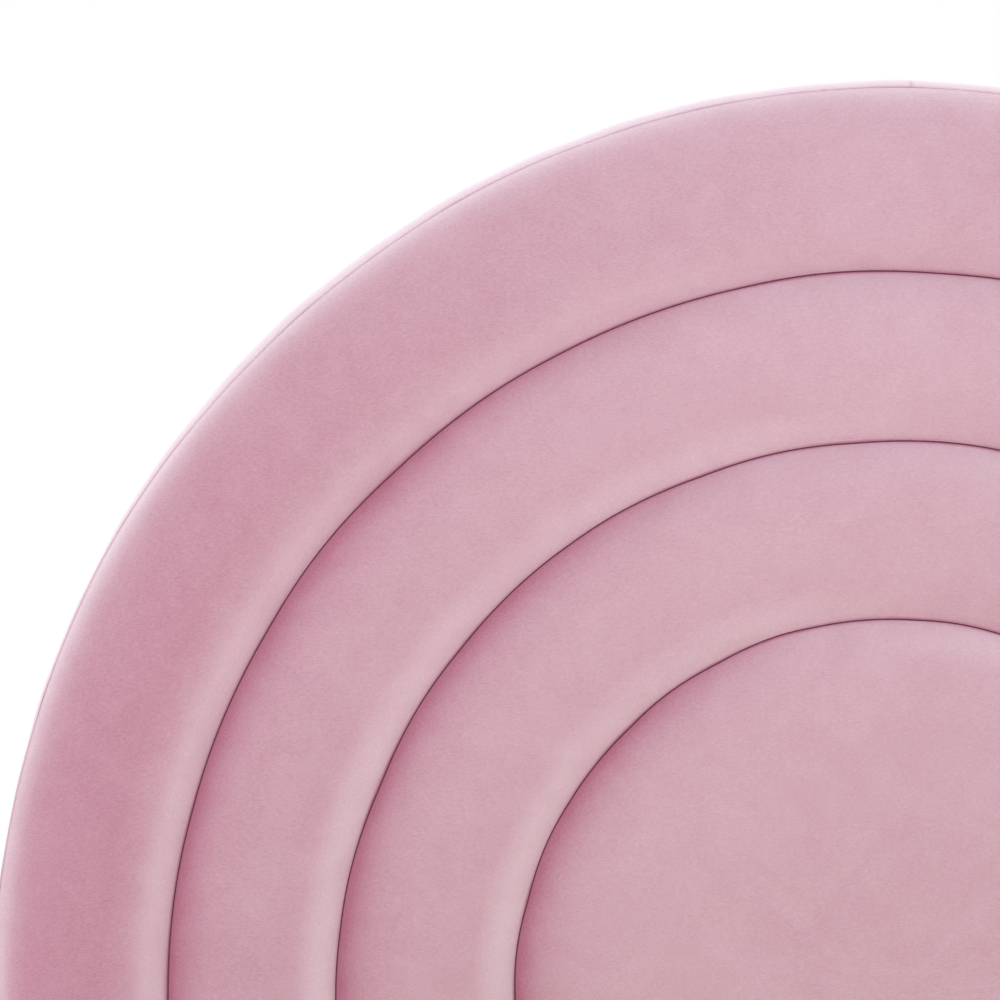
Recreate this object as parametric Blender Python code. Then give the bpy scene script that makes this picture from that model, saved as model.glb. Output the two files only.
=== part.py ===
"""Queen bed with an arched, channelled velvet headboard, as a knock-down assembly.

Metres, +Z up, the headboard at +Y and the foot at -Y. The origin is on the floor, at the middle
of the bed's box. Left is -X and right is +X, as seen from the foot.
"""

import math

import bmesh
import bpy
from mathutils import Matrix, Vector

# ---- driving dimensions ----
MATTRESS_WIDTH = 1.524          # queen mattress
MATTRESS_LENGTH = 2.032
MATTRESS_ROOM_X = 0.006         # play on each side
MATTRESS_ROOM_Y = 0.010         # play in all along the length

GAP = 0.0003                    # between pieces that touch
VELVET = 0.0022                 # velvet with its backing
RAIL_COVER = 0.006              # velvet bonded to thin foam, round the rails

HEADBOARD_RADIUS = 0.810        # outer arch, over the velvet
SPRING_HEIGHT = 0.520           # where the arch starts to curve
SEAM_RADII = (0.6543, 0.5022, 0.3422)   # the three seams between the four pads
SEAM_DROP = 0.018               # the seams' half circles start this much lower than the outline's
BODY_BOTTOM = 0.080             # lowest edge of the upholstery
RAIL_TOP = 0.330
PAD_BOTTOM = RAIL_TOP + 0.006

RAIL_BOARD = 0.025
LEDGE = 0.030                   # square batten that carries the slats
SLAT_THICK = 0.018
SLAT_WIDTH = 0.070
SLAT_COUNT = 12
SLAT_BOTTOM = 0.2523
BEAM_WIDTH, BEAM_HEIGHT = 0.045, 0.060
CENTRE_LEG = 0.045
CENTRE_LEG_Y = 0.420
STEM_RADIUS, STEM_TOP = 0.004, 0.055
FOOT_PAD = 0.010
FOOT_TRAVEL = 0.012             # how far a levelling foot screws in
FOOT_LEG_TOP, FOOT_LEG_TOE = 0.062, 0.048
FOOT_LEG_INSET = 0.045          # from the bed's corner to the leg's middle

# ---- headboard layers, as depths in front of its back face ----
DUST_DEPTH = (0.0, 0.0012)
FRAME_DEPTH = (0.0033, 0.0403)
PANEL_DEPTH = (0.0406, 0.0496)
SKIN_DEPTH = 0.0499             # where covers and foam start, on the panel
VALLEY_DEPTH = 0.082            # bottom of a rounded pad edge, at a seam
EDGE_SEAM_DEPTH = 0.088         # seam between the outer pad and the edge band
CROWN_DEPTH = 0.110
EDGE_SEAM_RADIUS = HEADBOARD_RADIUS - 0.0065
FRAME_RADIUS = HEADBOARD_RADIUS - 0.006
POST_WIDTH = 0.070
STUD_WIDTH = 0.060
FRAME_TOP = SPRING_HEIGHT - GAP # top of the posts, which the curved rib stands on
RIB_WIDTH = 0.060
GLIDE_RADIUS, GLIDE_HEIGHT = 0.018, 0.005
TURN_IN = 0.035                 # velvet folded and stapled behind the frame
PAD_ROUNDING = 0.045            # width of a pad's rounded edge
SHOULDER = 0.090                # the same at the headboard's outer edge, which slopes more gently
ARC_STEPS = 28
ROUND_STEPS = 3

# ---- derived places ----
RAIL_THICK = 2 * RAIL_COVER + 2 * GAP + RAIL_BOARD
RAIL_OUTER_X = MATTRESS_WIDTH / 2 + MATTRESS_ROOM_X + RAIL_THICK
BOARD_OUTER_X = RAIL_OUTER_X - RAIL_COVER - GAP
BOARD_INNER_X = BOARD_OUTER_X - RAIL_BOARD
INNER_LENGTH = MATTRESS_LENGTH + MATTRESS_ROOM_Y
TOTAL_LENGTH = CROWN_DEPTH + INNER_LENGTH + RAIL_THICK
BACK_Y = TOTAL_LENGTH / 2
FOOT_Y = -TOTAL_LENGTH / 2
FOOT_INNER_Y = FOOT_Y + RAIL_THICK
FOOT_BOARD_Y = (FOOT_Y + RAIL_COVER + GAP, FOOT_Y + RAIL_COVER + GAP + RAIL_BOARD)
LOWER_FACE_Y = BACK_Y - SKIN_DEPTH - VELVET     # front of the flat panel that the rails meet
SIDE_Y = (FOOT_INNER_Y + 0.0005, LOWER_FACE_Y - 0.0005)
BOARD_Z = (BODY_BOTTOM + RAIL_COVER + GAP, RAIL_TOP - RAIL_COVER - GAP)
WINDOW_Z = (0.110, 0.285)       # bare stretch of board between a cover's two returns
LEDGE_Z = (SLAT_BOTTOM - GAP - LEDGE, SLAT_BOTTOM - GAP)
BEAM_Z = (LEDGE_Z[1] - BEAM_HEIGHT, LEDGE_Z[1])
LOWER_CROSSRAIL_Z = (0.180, 0.280)
UPPER_CROSSRAIL_Z = (FRAME_TOP - 0.060, FRAME_TOP)
BOLT_HEIGHTS = (0.140, 0.190)
BOLT_X = 0.748
BOLT_RADIUS = 0.004
HOLE_RADIUS = 0.0043
BRACKET_Z = (0.115, 0.215)
BRACKET_STEEL = 0.003
FLANGE_ACROSS, FLANGE_ALONG = 0.060, 0.045      # the two flanges of a corner bracket
HANGER_WING, HANGER_DEPTH = 0.052, 0.045
WASHER = (0.011, 0.0025, 0.013)                 # half width, thickness, and margin past a bolt
BOLT_HEAD = (0.0075, 0.0055)                    # radius over the corners, and height
WEBBING = (0.025, 0.0012)                       # width and thickness
WEBBING_X = 0.480
SIDES = (("left", -1), ("right", 1))


# ---- scene and mesh helpers ----
def clear_scene():
    for item in list(bpy.data.objects):
        bpy.data.objects.remove(item)


def material(name, colour, roughness, metallic=0.0):
    made = bpy.data.materials.new(name)
    made.use_nodes = True
    shader = made.node_tree.nodes["Principled BSDF"]
    shader.inputs["Base Color"].default_value = (*colour, 1)
    shader.inputs["Roughness"].default_value = roughness
    shader.inputs["Metallic"].default_value = metallic
    return made


def add_object(name, mesh, place=(0, 0, 0), finish=None):
    made = bpy.data.objects.new(name, mesh)
    made.location = place
    bpy.context.scene.collection.objects.link(made)
    if finish:
        mesh.materials.append(finish)
    return made


def finished_mesh(name, bm):
    bmesh.ops.recalc_face_normals(bm, faces=bm.faces)
    mesh = bpy.data.meshes.new(name)
    bm.to_mesh(mesh)
    bm.free()
    return mesh


def bevelled(obj, width, segments=1):
    modifier = obj.modifiers.new("soft_edges", "BEVEL")
    modifier.width = width
    modifier.segments = segments
    modifier.limit_method = "ANGLE"
    return obj


def box(name, low, high, finish, bevel=0.0):
    """A block between two corners, with its origin at its middle."""
    low, high = Vector(low), Vector(high)
    bm = bmesh.new()
    bmesh.ops.create_cube(bm, size=1, matrix=Matrix.Diagonal((*(high - low), 1)))
    obj = add_object(name, finished_mesh(name, bm), (low + high) / 2, finish)
    return bevelled(obj, bevel) if bevel else obj


def smoothed(obj, limit=35):
    """Round pieces look round, and edges sharper than limit degrees stay sharp."""
    obj.data.shade_smooth()
    obj.data.set_sharp_from_angle(angle=math.radians(limit))
    return obj


def extrude_outline(bm, outline, along, start, end):
    """Extrudes an outline of (u, v) points from t = start to t = end, where along gives a point."""
    face = bm.faces.new([bm.verts.new(along(u, v, start)) for u, v in outline])
    made = bmesh.ops.extrude_face_region(bm, geom=[face])["geom"]
    verts = [item for item in made if isinstance(item, bmesh.types.BMVert)]
    bmesh.ops.translate(bm, vec=Vector(along(0, 0, end)) - Vector(along(0, 0, start)), verts=verts)


def prism(name, outline, along, start, end, finish, place=(0, 0, 0)):
    bm = bmesh.new()
    extrude_outline(bm, outline, along, start, end)
    return add_object(name, finished_mesh(name, bm), place, finish)


def along_y(u, v, t):
    return (u, t, v)


def along_z(u, v, t):
    return (u, v, t)


def cylinder_mesh(name, radius, start, end, centres, steps=12, plane=along_y):
    """Round bars between start and end, one for each centre."""
    turns = [math.tau * i / steps for i in range(steps)]
    bm = bmesh.new()
    for cu, cv in centres:
        ring = [(cu + radius * math.cos(a), cv + radius * math.sin(a)) for a in turns]
        extrude_outline(bm, ring, plane, start, end)
    return finished_mesh(name, bm)


def helper_object(name, mesh, place=(0, 0, 0)):
    """A cutter or an operand of a union, which isn't a piece of the bed."""
    obj = add_object(name, mesh, place)
    obj.hide_render = True
    obj.display_type = "WIRE"
    return obj


def boolean(obj, other, operation):
    modifier = obj.modifiers.new(operation.lower(), "BOOLEAN")
    modifier.operation = operation
    modifier.solver = "EXACT"
    modifier.object = other


# ---- shapes that follow the arch ----
def seam_drop(radius):
    """How far the centre of a half circle lies below the outline's, from the rim to the seams."""
    share = (HEADBOARD_RADIUS - radius) / (HEADBOARD_RADIUS - SEAM_RADII[0])
    return SEAM_DROP * min(max(share, 0), 1)


def arch_stations(foot):
    """(across, up, drop) at each station of the half circle, and of its straight legs down to foot."""
    turns = [math.pi * i / ARC_STEPS for i in range(ARC_STEPS + 1)]
    arc = [(math.cos(a), math.sin(a), 0) for a in turns]
    if foot is None:
        return arc
    drop = foot - SPRING_HEIGHT
    return [(1, 0, drop), *arc, (-1, 0, drop)]


def arch_sweep(name, section, foot, finish, closed=True, centre_drop=seam_drop):
    """Carries a section of (radius, depth) points round the arch, and down its legs to foot.

    There are no legs if foot is None. An open section starts and ends at radius 0, and fills the arch.
    """
    bm = bmesh.new()
    made = {}

    def vertex(station, point):
        across, up, drop = station
        radius, depth = point
        place = (radius * across, -depth, radius * up + (drop or -centre_drop(radius)))
        key = tuple(round(c, 6) for c in place)
        if key not in made:
            made[key] = bm.verts.new(place)
        return made[key]

    def face(corners):
        kept = [c for i, c in enumerate(corners) if c is not corners[i - 1]]
        if len(kept) > 2:
            bm.faces.new(kept)

    stations = arch_stations(foot)
    pairs = list(zip(section, section[1:]))
    if closed:
        pairs.append((section[-1], section[0]))
    for here, there in zip(stations, stations[1:]):
        for a, b in pairs:
            face((vertex(here, a), vertex(here, b), vertex(there, b), vertex(there, a)))
    for end in (stations[0], stations[-1]):
        face([vertex(end, point) for point in section])
    obj = add_object(name, finished_mesh(name, bm), (0, BACK_Y, SPRING_HEIGHT), finish)
    return smoothed(obj)


def arch_outline(radius, foot):
    """The tombstone outline, in (x, z) from the arch's centre."""
    return [(radius * across, radius * up + drop) for across, up, drop in arch_stations(foot)]


def arch_plate(name, radius, depths, foot, finish):
    start, end = (-depth for depth in depths)
    outline = arch_outline(radius, foot)
    plate = prism(name, outline, along_y, start, end, finish, (0, BACK_Y, SPRING_HEIGHT))
    return smoothed(plate)


def rounded_front(inner, outer, valley_in, valley_out, crown, round_in, round_out):
    """(radius, depth) points across a pad's front, which starts flat at the middle if inner is 0."""
    quarter = [math.pi / 2 * i / ROUND_STEPS for i in range(ROUND_STEPS + 1)]
    rise = [
        (inner + round_in * (1 - math.cos(a)), valley_in + (crown - valley_in) * math.sin(a))
        for a in quarter
    ]
    fall = [
        (outer - round_out * (1 - math.cos(a)), valley_out + (crown - valley_out) * math.sin(a))
        for a in reversed(quarter)
    ]
    return ([(0, crown)] if inner == 0 else rise) + fall


def pad_front(index, inset):
    """The front of pad 0 (outer) to 3 (centre), set in by inset from the velvet's outer surface."""
    outer = SEAM_RADII[index - 1] - GAP / 2 if index else EDGE_SEAM_RADIUS
    inner = SEAM_RADII[index] + GAP / 2 if index < len(SEAM_RADII) else 0
    valley_out = VALLEY_DEPTH if index else EDGE_SEAM_DEPTH
    return rounded_front(
        inner + inset if inner else 0,
        outer - inset,
        VALLEY_DEPTH - inset,
        valley_out - inset,
        CROWN_DEPTH - inset,
        PAD_ROUNDING,
        PAD_ROUNDING if index else SHOULDER,
    )


# ---- headboard ----
PADS = ("outer_arch", "second_arch", "third_arch", "centre_panel")


def headboard_pads(velvet, foam):
    """Each channel is a foam pad on the face panel, with its own velvet cover drawn over it."""
    for index, pad in enumerate(PADS):
        ring = index < len(PADS) - 1
        skin, inside = pad_front(index, 0), pad_front(index, VELVET)
        core = pad_front(index, VELVET + GAP)
        skin_back = [] if index == 0 else [(skin[-1][0], SKIN_DEPTH), (inside[-1][0], SKIN_DEPTH)]
        shell = skin + skin_back + inside[::-1]
        solid = core + [(core[-1][0], SKIN_DEPTH)]
        if ring:
            shell += [(inside[0][0], SKIN_DEPTH), (skin[0][0], SKIN_DEPTH)]
            solid += [(core[0][0], SKIN_DEPTH)]
        else:
            solid += [(0, SKIN_DEPTH)]
        arch_sweep(pad + "_cover", shell, PAD_BOTTOM, velvet, closed=ring)
        arch_sweep(pad + "_foam", solid, PAD_BOTTOM, foam, closed=ring)


def headboard_edge_band(velvet):
    """The strip of velvet round the headboard's edge, turned in and stapled behind the frame."""
    r = HEADBOARD_RADIUS
    t = VELVET
    outside = [
        (EDGE_SEAM_RADIUS + 0.001, EDGE_SEAM_DEPTH + GAP - 0.002),
        (r - 0.0025, 0.078),
        (r, 0.055),
        (r - 0.0003, 0.025),
        (r - 0.001, 0.0015),
        (r - TURN_IN, 0.0015),
    ]
    inside = [
        (r - TURN_IN, 0.0030),
        (r - 0.001 - t, 0.0030),
        (r - 0.0003 - t, 0.025),
        (r - t, 0.055),
        (r - 0.0025 - t, 0.0765),
        (EDGE_SEAM_RADIUS + 0.001 - t, EDGE_SEAM_DEPTH - 0.0035),
    ]
    arch_sweep("headboard_edge_band", outside + inside, PAD_BOTTOM, velvet)


def headboard_lower_cover(velvet):
    """Flat velvet below the pads, wrapped round both sides. The rails are bolted against it."""
    half, back = HEADBOARD_RADIUS - 0.001, BACK_Y - FRAME_DEPTH[0] + 0.0015
    front, t = LOWER_FACE_Y, VELVET
    outline = [
        (-half, back), (-half, front), (half, front), (half, back),
        (half - t, back), (half - t, front + t), (-half + t, front + t), (-half + t, back),
    ]
    cover = prism(
        "headboard_lower_cover", outline, along_z, BODY_BOTTOM, PAD_BOTTOM - 0.0005, velvet
    )
    boolean(cover, bolt_hole_cutter("lower_cover_holes", front - 0.01, front + 0.01), "DIFFERENCE")


def bolt_hole_cutter(name, start, end, sides=(-1, 1)):
    centres = [(side * BOLT_X, height) for side in sides for height in BOLT_HEIGHTS]
    return helper_object(name, cylinder_mesh(name, HOLE_RADIUS, start, end, centres))


def headboard_frame(pine, plywood, cambric, plastic):
    """Posts, rails, a curved rib and a stud, closed by a plywood face and a cloth at the back."""
    back, front = BACK_Y - FRAME_DEPTH[0], BACK_Y - FRAME_DEPTH[1]
    post_inner = FRAME_RADIUS - POST_WIDTH
    for word, side in SIDES:
        x = sorted((side * post_inner, side * FRAME_RADIUS))
        foot = GLIDE_HEIGHT + GAP
        post = box(f"headboard_{word}_post", (x[0], front, foot), (x[1], back, FRAME_TOP), pine)
        cutter = bolt_hole_cutter(f"{word}_post_holes", front - 0.01, back + 0.01, (side,))
        boolean(post, cutter, "DIFFERENCE")
        r, h = GLIDE_RADIUS, GLIDE_HEIGHT
        glide = [(0, 0), (r - 0.002, 0), (r, 0.002), (r, h), (0, h)]
        middle = (sum(x) / 2, (back + front) / 2, 0)
        lathe(f"headboard_{word}_glide", glide, middle, plastic, 16)
    rib = [
        (FRAME_RADIUS, FRAME_DEPTH[0]), (FRAME_RADIUS, FRAME_DEPTH[1]),
        (FRAME_RADIUS - RIB_WIDTH, FRAME_DEPTH[1]), (FRAME_RADIUS - RIB_WIDTH, FRAME_DEPTH[0]),
    ]
    arch_sweep("headboard_arch_rib", rib, None, plywood, centre_drop=lambda radius: 0)
    reach = post_inner - GAP
    for word, (low, high) in (("upper", UPPER_CROSSRAIL_Z), ("lower", LOWER_CROSSRAIL_Z)):
        box(f"headboard_{word}_crossrail", (-reach, front, low), (reach, back, high), pine)
    stud = STUD_WIDTH / 2
    stud_top = SPRING_HEIGHT + math.sqrt((FRAME_RADIUS - RIB_WIDTH) ** 2 - stud**2) - 0.003
    box(
        "headboard_centre_stud",
        (-stud, front, SPRING_HEIGHT),
        (stud, back, stud_top),
        pine,
    )
    panel = arch_plate(
        "headboard_face_panel", FRAME_RADIUS, PANEL_DEPTH, BODY_BOTTOM + 0.002, plywood
    )
    cutter = bolt_hole_cutter("face_panel_holes", LOWER_FACE_Y - 0.01, front + 0.005)
    boolean(panel, cutter, "DIFFERENCE")
    arch_plate(
        "headboard_dust_cover", HEADBOARD_RADIUS - 0.020, DUST_DEPTH, BODY_BOTTOM + 0.010, cambric
    )


def lathe(name, profile, place, finish, steps):
    """A turned piece: (radius, height) points from its foot up, which start and end on the axis."""
    bm = bmesh.new()
    rings = []
    for radius, height in profile:
        if radius == 0:
            rings.append([bm.verts.new((0, 0, height))])
        else:
            turn = [math.tau * i / steps for i in range(steps)]
            rings.append(
                [bm.verts.new((radius * math.cos(a), radius * math.sin(a), height)) for a in turn]
            )
    for low, high in zip(rings, rings[1:]):
        for i in range(steps):
            j = (i + 1) % steps
            corners = [low[i % len(low)], low[j % len(low)], high[j % len(high)], high[i % len(high)]]
            bm.faces.new([c for k, c in enumerate(corners) if c is not corners[k - 1]])
    return smoothed(add_object(name, finished_mesh(name, bm), place, finish))


# ---- rails and foot ----
def side_rails(pine, velvet):
    for word, side in SIDES:
        x = sorted((side * BOARD_INNER_X, side * BOARD_OUTER_X))
        box(
            f"{word}_rail_board",
            (x[0], SIDE_Y[0] + 0.002, BOARD_Z[0]),
            (x[1], SIDE_Y[1] - 0.002, BOARD_Z[1]),
            pine,
        )
        outer, inner = side * RAIL_OUTER_X, side * (RAIL_OUTER_X - RAIL_THICK)
        skin, pocket = side * (RAIL_OUTER_X - RAIL_COVER), side * (BOARD_INNER_X - GAP)
        top, bottom = RAIL_TOP - RAIL_COVER, BODY_BOTTOM + RAIL_COVER
        outline = [
            (outer, BODY_BOTTOM), (outer, RAIL_TOP), (inner, RAIL_TOP), (inner, WINDOW_Z[1]),
            (pocket, WINDOW_Z[1]), (pocket, top), (skin, top), (skin, bottom),
            (pocket, bottom), (pocket, WINDOW_Z[0]), (inner, WINDOW_Z[0]), (inner, BODY_BOTTOM),
        ]
        prism(f"{word}_rail_cover", outline, along_y, *SIDE_Y, velvet)
        ledge_inner = BOARD_INNER_X - GAP - LEDGE
        x = sorted((side * ledge_inner, side * (BOARD_INNER_X - GAP)))
        box(
            f"{word}_slat_ledge",
            (x[0], FOOT_INNER_Y + 0.045, LEDGE_Z[0]),
            (x[1], LOWER_FACE_Y - 0.045, LEDGE_Z[1]),
            pine,
            bevel=0.002,
        )


def foot_rail(pine, velvet):
    reach = RAIL_OUTER_X - RAIL_COVER - GAP
    board = box(
        "foot_rail_board",
        (-reach, FOOT_BOARD_Y[0], BOARD_Z[0]),
        (reach, FOOT_BOARD_Y[1], BOARD_Z[1]),
        pine,
    )
    boolean(board, bolt_hole_cutter("foot_board_holes", FOOT_Y - 0.01, FOOT_INNER_Y), "DIFFERENCE")
    cover = box(
        "foot_rail_cover",
        (-RAIL_OUTER_X, FOOT_Y, BODY_BOTTOM),
        (RAIL_OUTER_X, FOOT_INNER_Y, RAIL_TOP),
        velvet,
    )
    pocket = box(
        "foot_pocket",
        (-reach - GAP, FOOT_BOARD_Y[0] - GAP, BOARD_Z[0] - GAP),
        (reach + GAP, FOOT_BOARD_Y[1] + GAP, BOARD_Z[1] + GAP),
        None,
    )
    window = box(
        "foot_window",
        (-BOARD_INNER_X, FOOT_BOARD_Y[0], WINDOW_Z[0]),
        (BOARD_INNER_X, FOOT_INNER_Y + 0.01, WINDOW_Z[1]),
        None,
    )
    for cutter in (pocket, window):
        cutter.hide_render = True
        cutter.display_type = "WIRE"
        boolean(cover, cutter, "DIFFERENCE")


def foot_legs(wood):
    """Square tapered legs under the foot corners."""
    top, bottom, height = FOOT_LEG_TOP, FOOT_LEG_TOE, BODY_BOTTOM - GAP
    for word, side in SIDES:
        bm = bmesh.new()
        bmesh.ops.create_cube(bm, size=1)
        for vert in bm.verts:
            width = top if vert.co.z > 0 else bottom
            vert.co = Vector((vert.co.x * width, vert.co.y * width, (vert.co.z + 0.5) * height))
        name = f"{word}_foot_leg"
        place = (side * (RAIL_OUTER_X - FOOT_LEG_INSET), FOOT_Y + FOOT_LEG_INSET, 0)
        bevelled(add_object(name, finished_mesh(name, bm), place, wood), 0.003)


# ---- slatted base ----
def slats(pine, webbing):
    """Twelve slats, kept apart by two webbing straps stapled along their undersides."""
    first, last = FOOT_INNER_Y + 0.085, BACK_Y - CROWN_DEPTH - 0.085
    reach = BOARD_INNER_X - 0.009
    for i in range(SLAT_COUNT):
        y = first + (last - first) * i / (SLAT_COUNT - 1)
        box(
            f"slat_{i + 1:02d}",
            (-reach, y - SLAT_WIDTH / 2, SLAT_BOTTOM),
            (reach, y + SLAT_WIDTH / 2, SLAT_BOTTOM + SLAT_THICK),
            pine,
            bevel=0.0025,
        )
    top = SLAT_BOTTOM - GAP
    for word, side in SIDES:
        x, half = side * WEBBING_X, WEBBING[0] / 2
        box(
            f"{word}_slat_webbing",
            (x - half, first - 0.030, top - WEBBING[1]),
            (x + half, last + 0.030, top),
            webbing,
        )


def centre_beam(pine, steel, plastic):
    head_y, foot_y = LOWER_FACE_Y - GAP, FOOT_BOARD_Y[1] + GAP
    clear = BRACKET_STEEL + GAP
    box(
        "centre_beam",
        (-BEAM_WIDTH / 2, foot_y + clear, BEAM_Z[0]),
        (BEAM_WIDTH / 2, head_y - clear, BEAM_Z[1]),
        pine,
        bevel=0.002,
    )
    for word, wall, inward in (("head", head_y, -1), ("foot", foot_y, 1)):
        beam_hanger(f"beam_{word}_hanger", wall, inward, steel)
    for word, y in (("head", CENTRE_LEG_Y), ("foot", -CENTRE_LEG_Y)):
        centre_leg(word, y, pine, plastic)


def beam_hanger(name, wall, inward, steel):
    """A folded steel seat: a plate on the wall, and a trough that the beam drops into."""
    inner, t = BEAM_WIDTH / 2 + GAP, BRACKET_STEEL
    floor = BEAM_Z[0] - GAP
    top = floor + 0.045
    trough = [
        (-inner - t, floor - t), (inner + t, floor - t), (inner + t, top), (inner, top),
        (inner, floor), (-inner, floor), (-inner, top), (-inner - t, top),
    ]
    near, far = wall + inward * 0.001, wall + inward * HANGER_DEPTH
    seat = prism(name, trough, along_y, near, far, steel)
    wing, low = HANGER_WING, floor - 0.010
    y = sorted((wall, wall + inward * t))
    plate = box(name + "_plate", (-wing, y[0], low), (wing, y[1], top), None)
    plate.hide_render = True
    plate.display_type = "WIRE"
    boolean(seat, plate, "UNION")


def centre_leg(word, y, pine, plastic):
    """A square leg under the beam, with a levelling foot whose thread runs up inside it."""
    pad, stem, half = FOOT_PAD, STEM_RADIUS, CENTRE_LEG / 2
    bottom = pad + FOOT_TRAVEL + 0.0005
    leg = box(
        f"centre_{word}_leg",
        (-half, y - half, bottom),
        (half, y + half, BEAM_Z[0] - GAP),
        pine,
        bevel=0.002,
    )
    bore_top = STEM_TOP + FOOT_TRAVEL + 0.008
    bore = cylinder_mesh(
        "stem_bore", stem + 0.0004, bottom - 0.01, bore_top, [(0, y)], 16, along_z
    )
    boolean(leg, helper_object(f"{word}_stem_bore", bore), "DIFFERENCE")
    wide = GLIDE_RADIUS
    profile = [
        (0, 0), (wide - 0.003, 0), (wide, 0.002), (wide, 0.007), (wide - 0.003, pad),
        (stem, pad), (stem, STEM_TOP), (0, STEM_TOP),
    ]
    lathe(f"centre_{word}_levelling_foot", profile, (0, y, 0), plastic, 20)


# ---- corner hardware ----
def corner_hardware(steel, zinc):
    """An angle bracket and a pair of bolts join each end of a side rail to what it meets."""
    ends = (
        ("head", LOWER_FACE_Y - GAP, -1, BACK_Y - FRAME_DEPTH[0] - 0.002),
        ("foot", FOOT_BOARD_Y[1] + GAP, 1, FOOT_BOARD_Y[0] + 0.002),
    )
    for end, wall, inward, tip in ends:
        for word, side in SIDES:
            outer = side * (BOARD_INNER_X - GAP)
            inner = outer - side * FLANGE_ACROSS
            t, long = BRACKET_STEEL, wall + inward * FLANGE_ALONG
            outline = [
                (outer, wall), (inner, wall), (inner, wall + inward * t),
                (outer - side * t, wall + inward * t), (outer - side * t, long), (outer, long),
            ]
            name = f"{end}_{word}_bracket"
            bracket = prism(name, outline, along_z, *BRACKET_Z, steel)
            holes = bolt_hole_cutter(name + "_holes", wall - 0.01, wall + 0.01, (side,))
            boolean(bracket, holes, "DIFFERENCE")
            bolt_pair(f"{end}_{word}_bolt_pair", side, wall + inward * (t + GAP), inward, tip, zinc)


def bolt_pair(name, side, seat, inward, tip, zinc):
    """Two hexagon bolts through one washer plate, which lies on seat. Their shanks end at tip."""
    half, plate_thick, margin = WASHER
    head_radius, head_height = BOLT_HEAD
    y = sorted((seat, seat + inward * plate_thick))
    plate = box(
        name,
        (side * BOLT_X - half, y[0], BOLT_HEIGHTS[0] - margin),
        (side * BOLT_X + half, y[1], BOLT_HEIGHTS[1] + margin),
        zinc,
    )
    centres = [(side * BOLT_X, height) for height in BOLT_HEIGHTS]
    shank_end, inside = tip, seat + inward * plate_thick / 2
    head_end = seat + inward * (plate_thick + head_height)
    for what, radius, ends, steps in (
        ("shanks", BOLT_RADIUS, (inside, shank_end), 12),
        ("heads", head_radius, (inside, head_end), 6),
    ):
        mesh = cylinder_mesh(name + what, radius, min(ends), max(ends), centres, steps)
        boolean(plate, helper_object(f"{name}_{what}", mesh), "UNION")


def main():
    clear_scene()
    velvet = material("pink_velvet", (0.62, 0.36, 0.44), 0.85)
    foam = material("foam", (0.86, 0.80, 0.62), 0.95)
    pine = material("pine", (0.66, 0.47, 0.28), 0.6)
    plywood = material("plywood", (0.62, 0.45, 0.29), 0.65)
    dark_wood = material("black_stained_wood", (0.03, 0.025, 0.022), 0.45)
    cambric = material("cambric", (0.02, 0.02, 0.022), 0.95)
    webbing = material("webbing", (0.75, 0.74, 0.70), 0.9)
    steel = material("black_steel", (0.04, 0.04, 0.042), 0.45, 0.6)
    zinc = material("zinc", (0.62, 0.62, 0.60), 0.3, 1.0)
    plastic = material("black_plastic", (0.03, 0.03, 0.03), 0.5)
    headboard_frame(pine, plywood, cambric, plastic)
    headboard_pads(velvet, foam)
    headboard_edge_band(velvet)
    headboard_lower_cover(velvet)
    side_rails(pine, velvet)
    foot_rail(pine, velvet)
    foot_legs(dark_wood)
    slats(pine, webbing)
    centre_beam(pine, steel, plastic)
    corner_hardware(steel, zinc)


main()
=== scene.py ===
import math

import bmesh
import bpy
import numpy as np
from mathutils import Matrix, Vector


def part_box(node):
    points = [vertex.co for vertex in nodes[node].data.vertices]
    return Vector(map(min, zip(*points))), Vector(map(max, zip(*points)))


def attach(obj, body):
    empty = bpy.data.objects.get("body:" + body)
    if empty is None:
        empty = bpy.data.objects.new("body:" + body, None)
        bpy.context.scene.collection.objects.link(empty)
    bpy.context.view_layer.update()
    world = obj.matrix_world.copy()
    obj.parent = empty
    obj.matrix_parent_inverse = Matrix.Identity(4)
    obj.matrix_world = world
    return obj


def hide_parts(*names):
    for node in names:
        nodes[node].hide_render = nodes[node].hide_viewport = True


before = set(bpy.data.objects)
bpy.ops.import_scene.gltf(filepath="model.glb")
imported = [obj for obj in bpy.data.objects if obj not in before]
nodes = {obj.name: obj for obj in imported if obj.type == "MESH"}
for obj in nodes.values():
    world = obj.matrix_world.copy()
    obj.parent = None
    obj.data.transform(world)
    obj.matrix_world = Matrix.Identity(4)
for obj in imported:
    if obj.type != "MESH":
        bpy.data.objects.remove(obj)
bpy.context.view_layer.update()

scene = bpy.context.scene

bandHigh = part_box("headboard_edge_band")[1]
coverLow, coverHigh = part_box("outer_arch_cover")
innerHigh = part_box("second_arch_cover")[1]
arch = {
    "radius": bandHigh.x,                    # over the velvet
    "springZ": bandHigh.z - bandHigh.x,      # where the straight sides turn into the half circle
    "seamSpringZ": innerHigh.z - innerHigh.x,    # the same for the seams, which start lower
    "footZ": coverLow.z,                     # lower end of the pads
    "backY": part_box("headboard_dust_cover")[1].y,
    "seams": [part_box(n)[1].x for n in ("second_arch_cover", "third_arch_cover", "centre_panel_cover")],
}
arch["crown"] = arch["backY"] - coverLow.y
arch["skin"] = arch["backY"] - coverHigh.y   # where velvet meets the plywood face


# Helpers that every piece uses.
def linear(hexColour):
    # sRGB hex to the linear values that a shader takes
    parts = [int(hexColour[i:i + 2], 16) / 255 for i in (1, 3, 5)]
    return tuple(p / 12.92 if p <= 0.04045 else ((p + 0.055) / 1.055) ** 2.4 for p in parts) + (1,)


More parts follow.
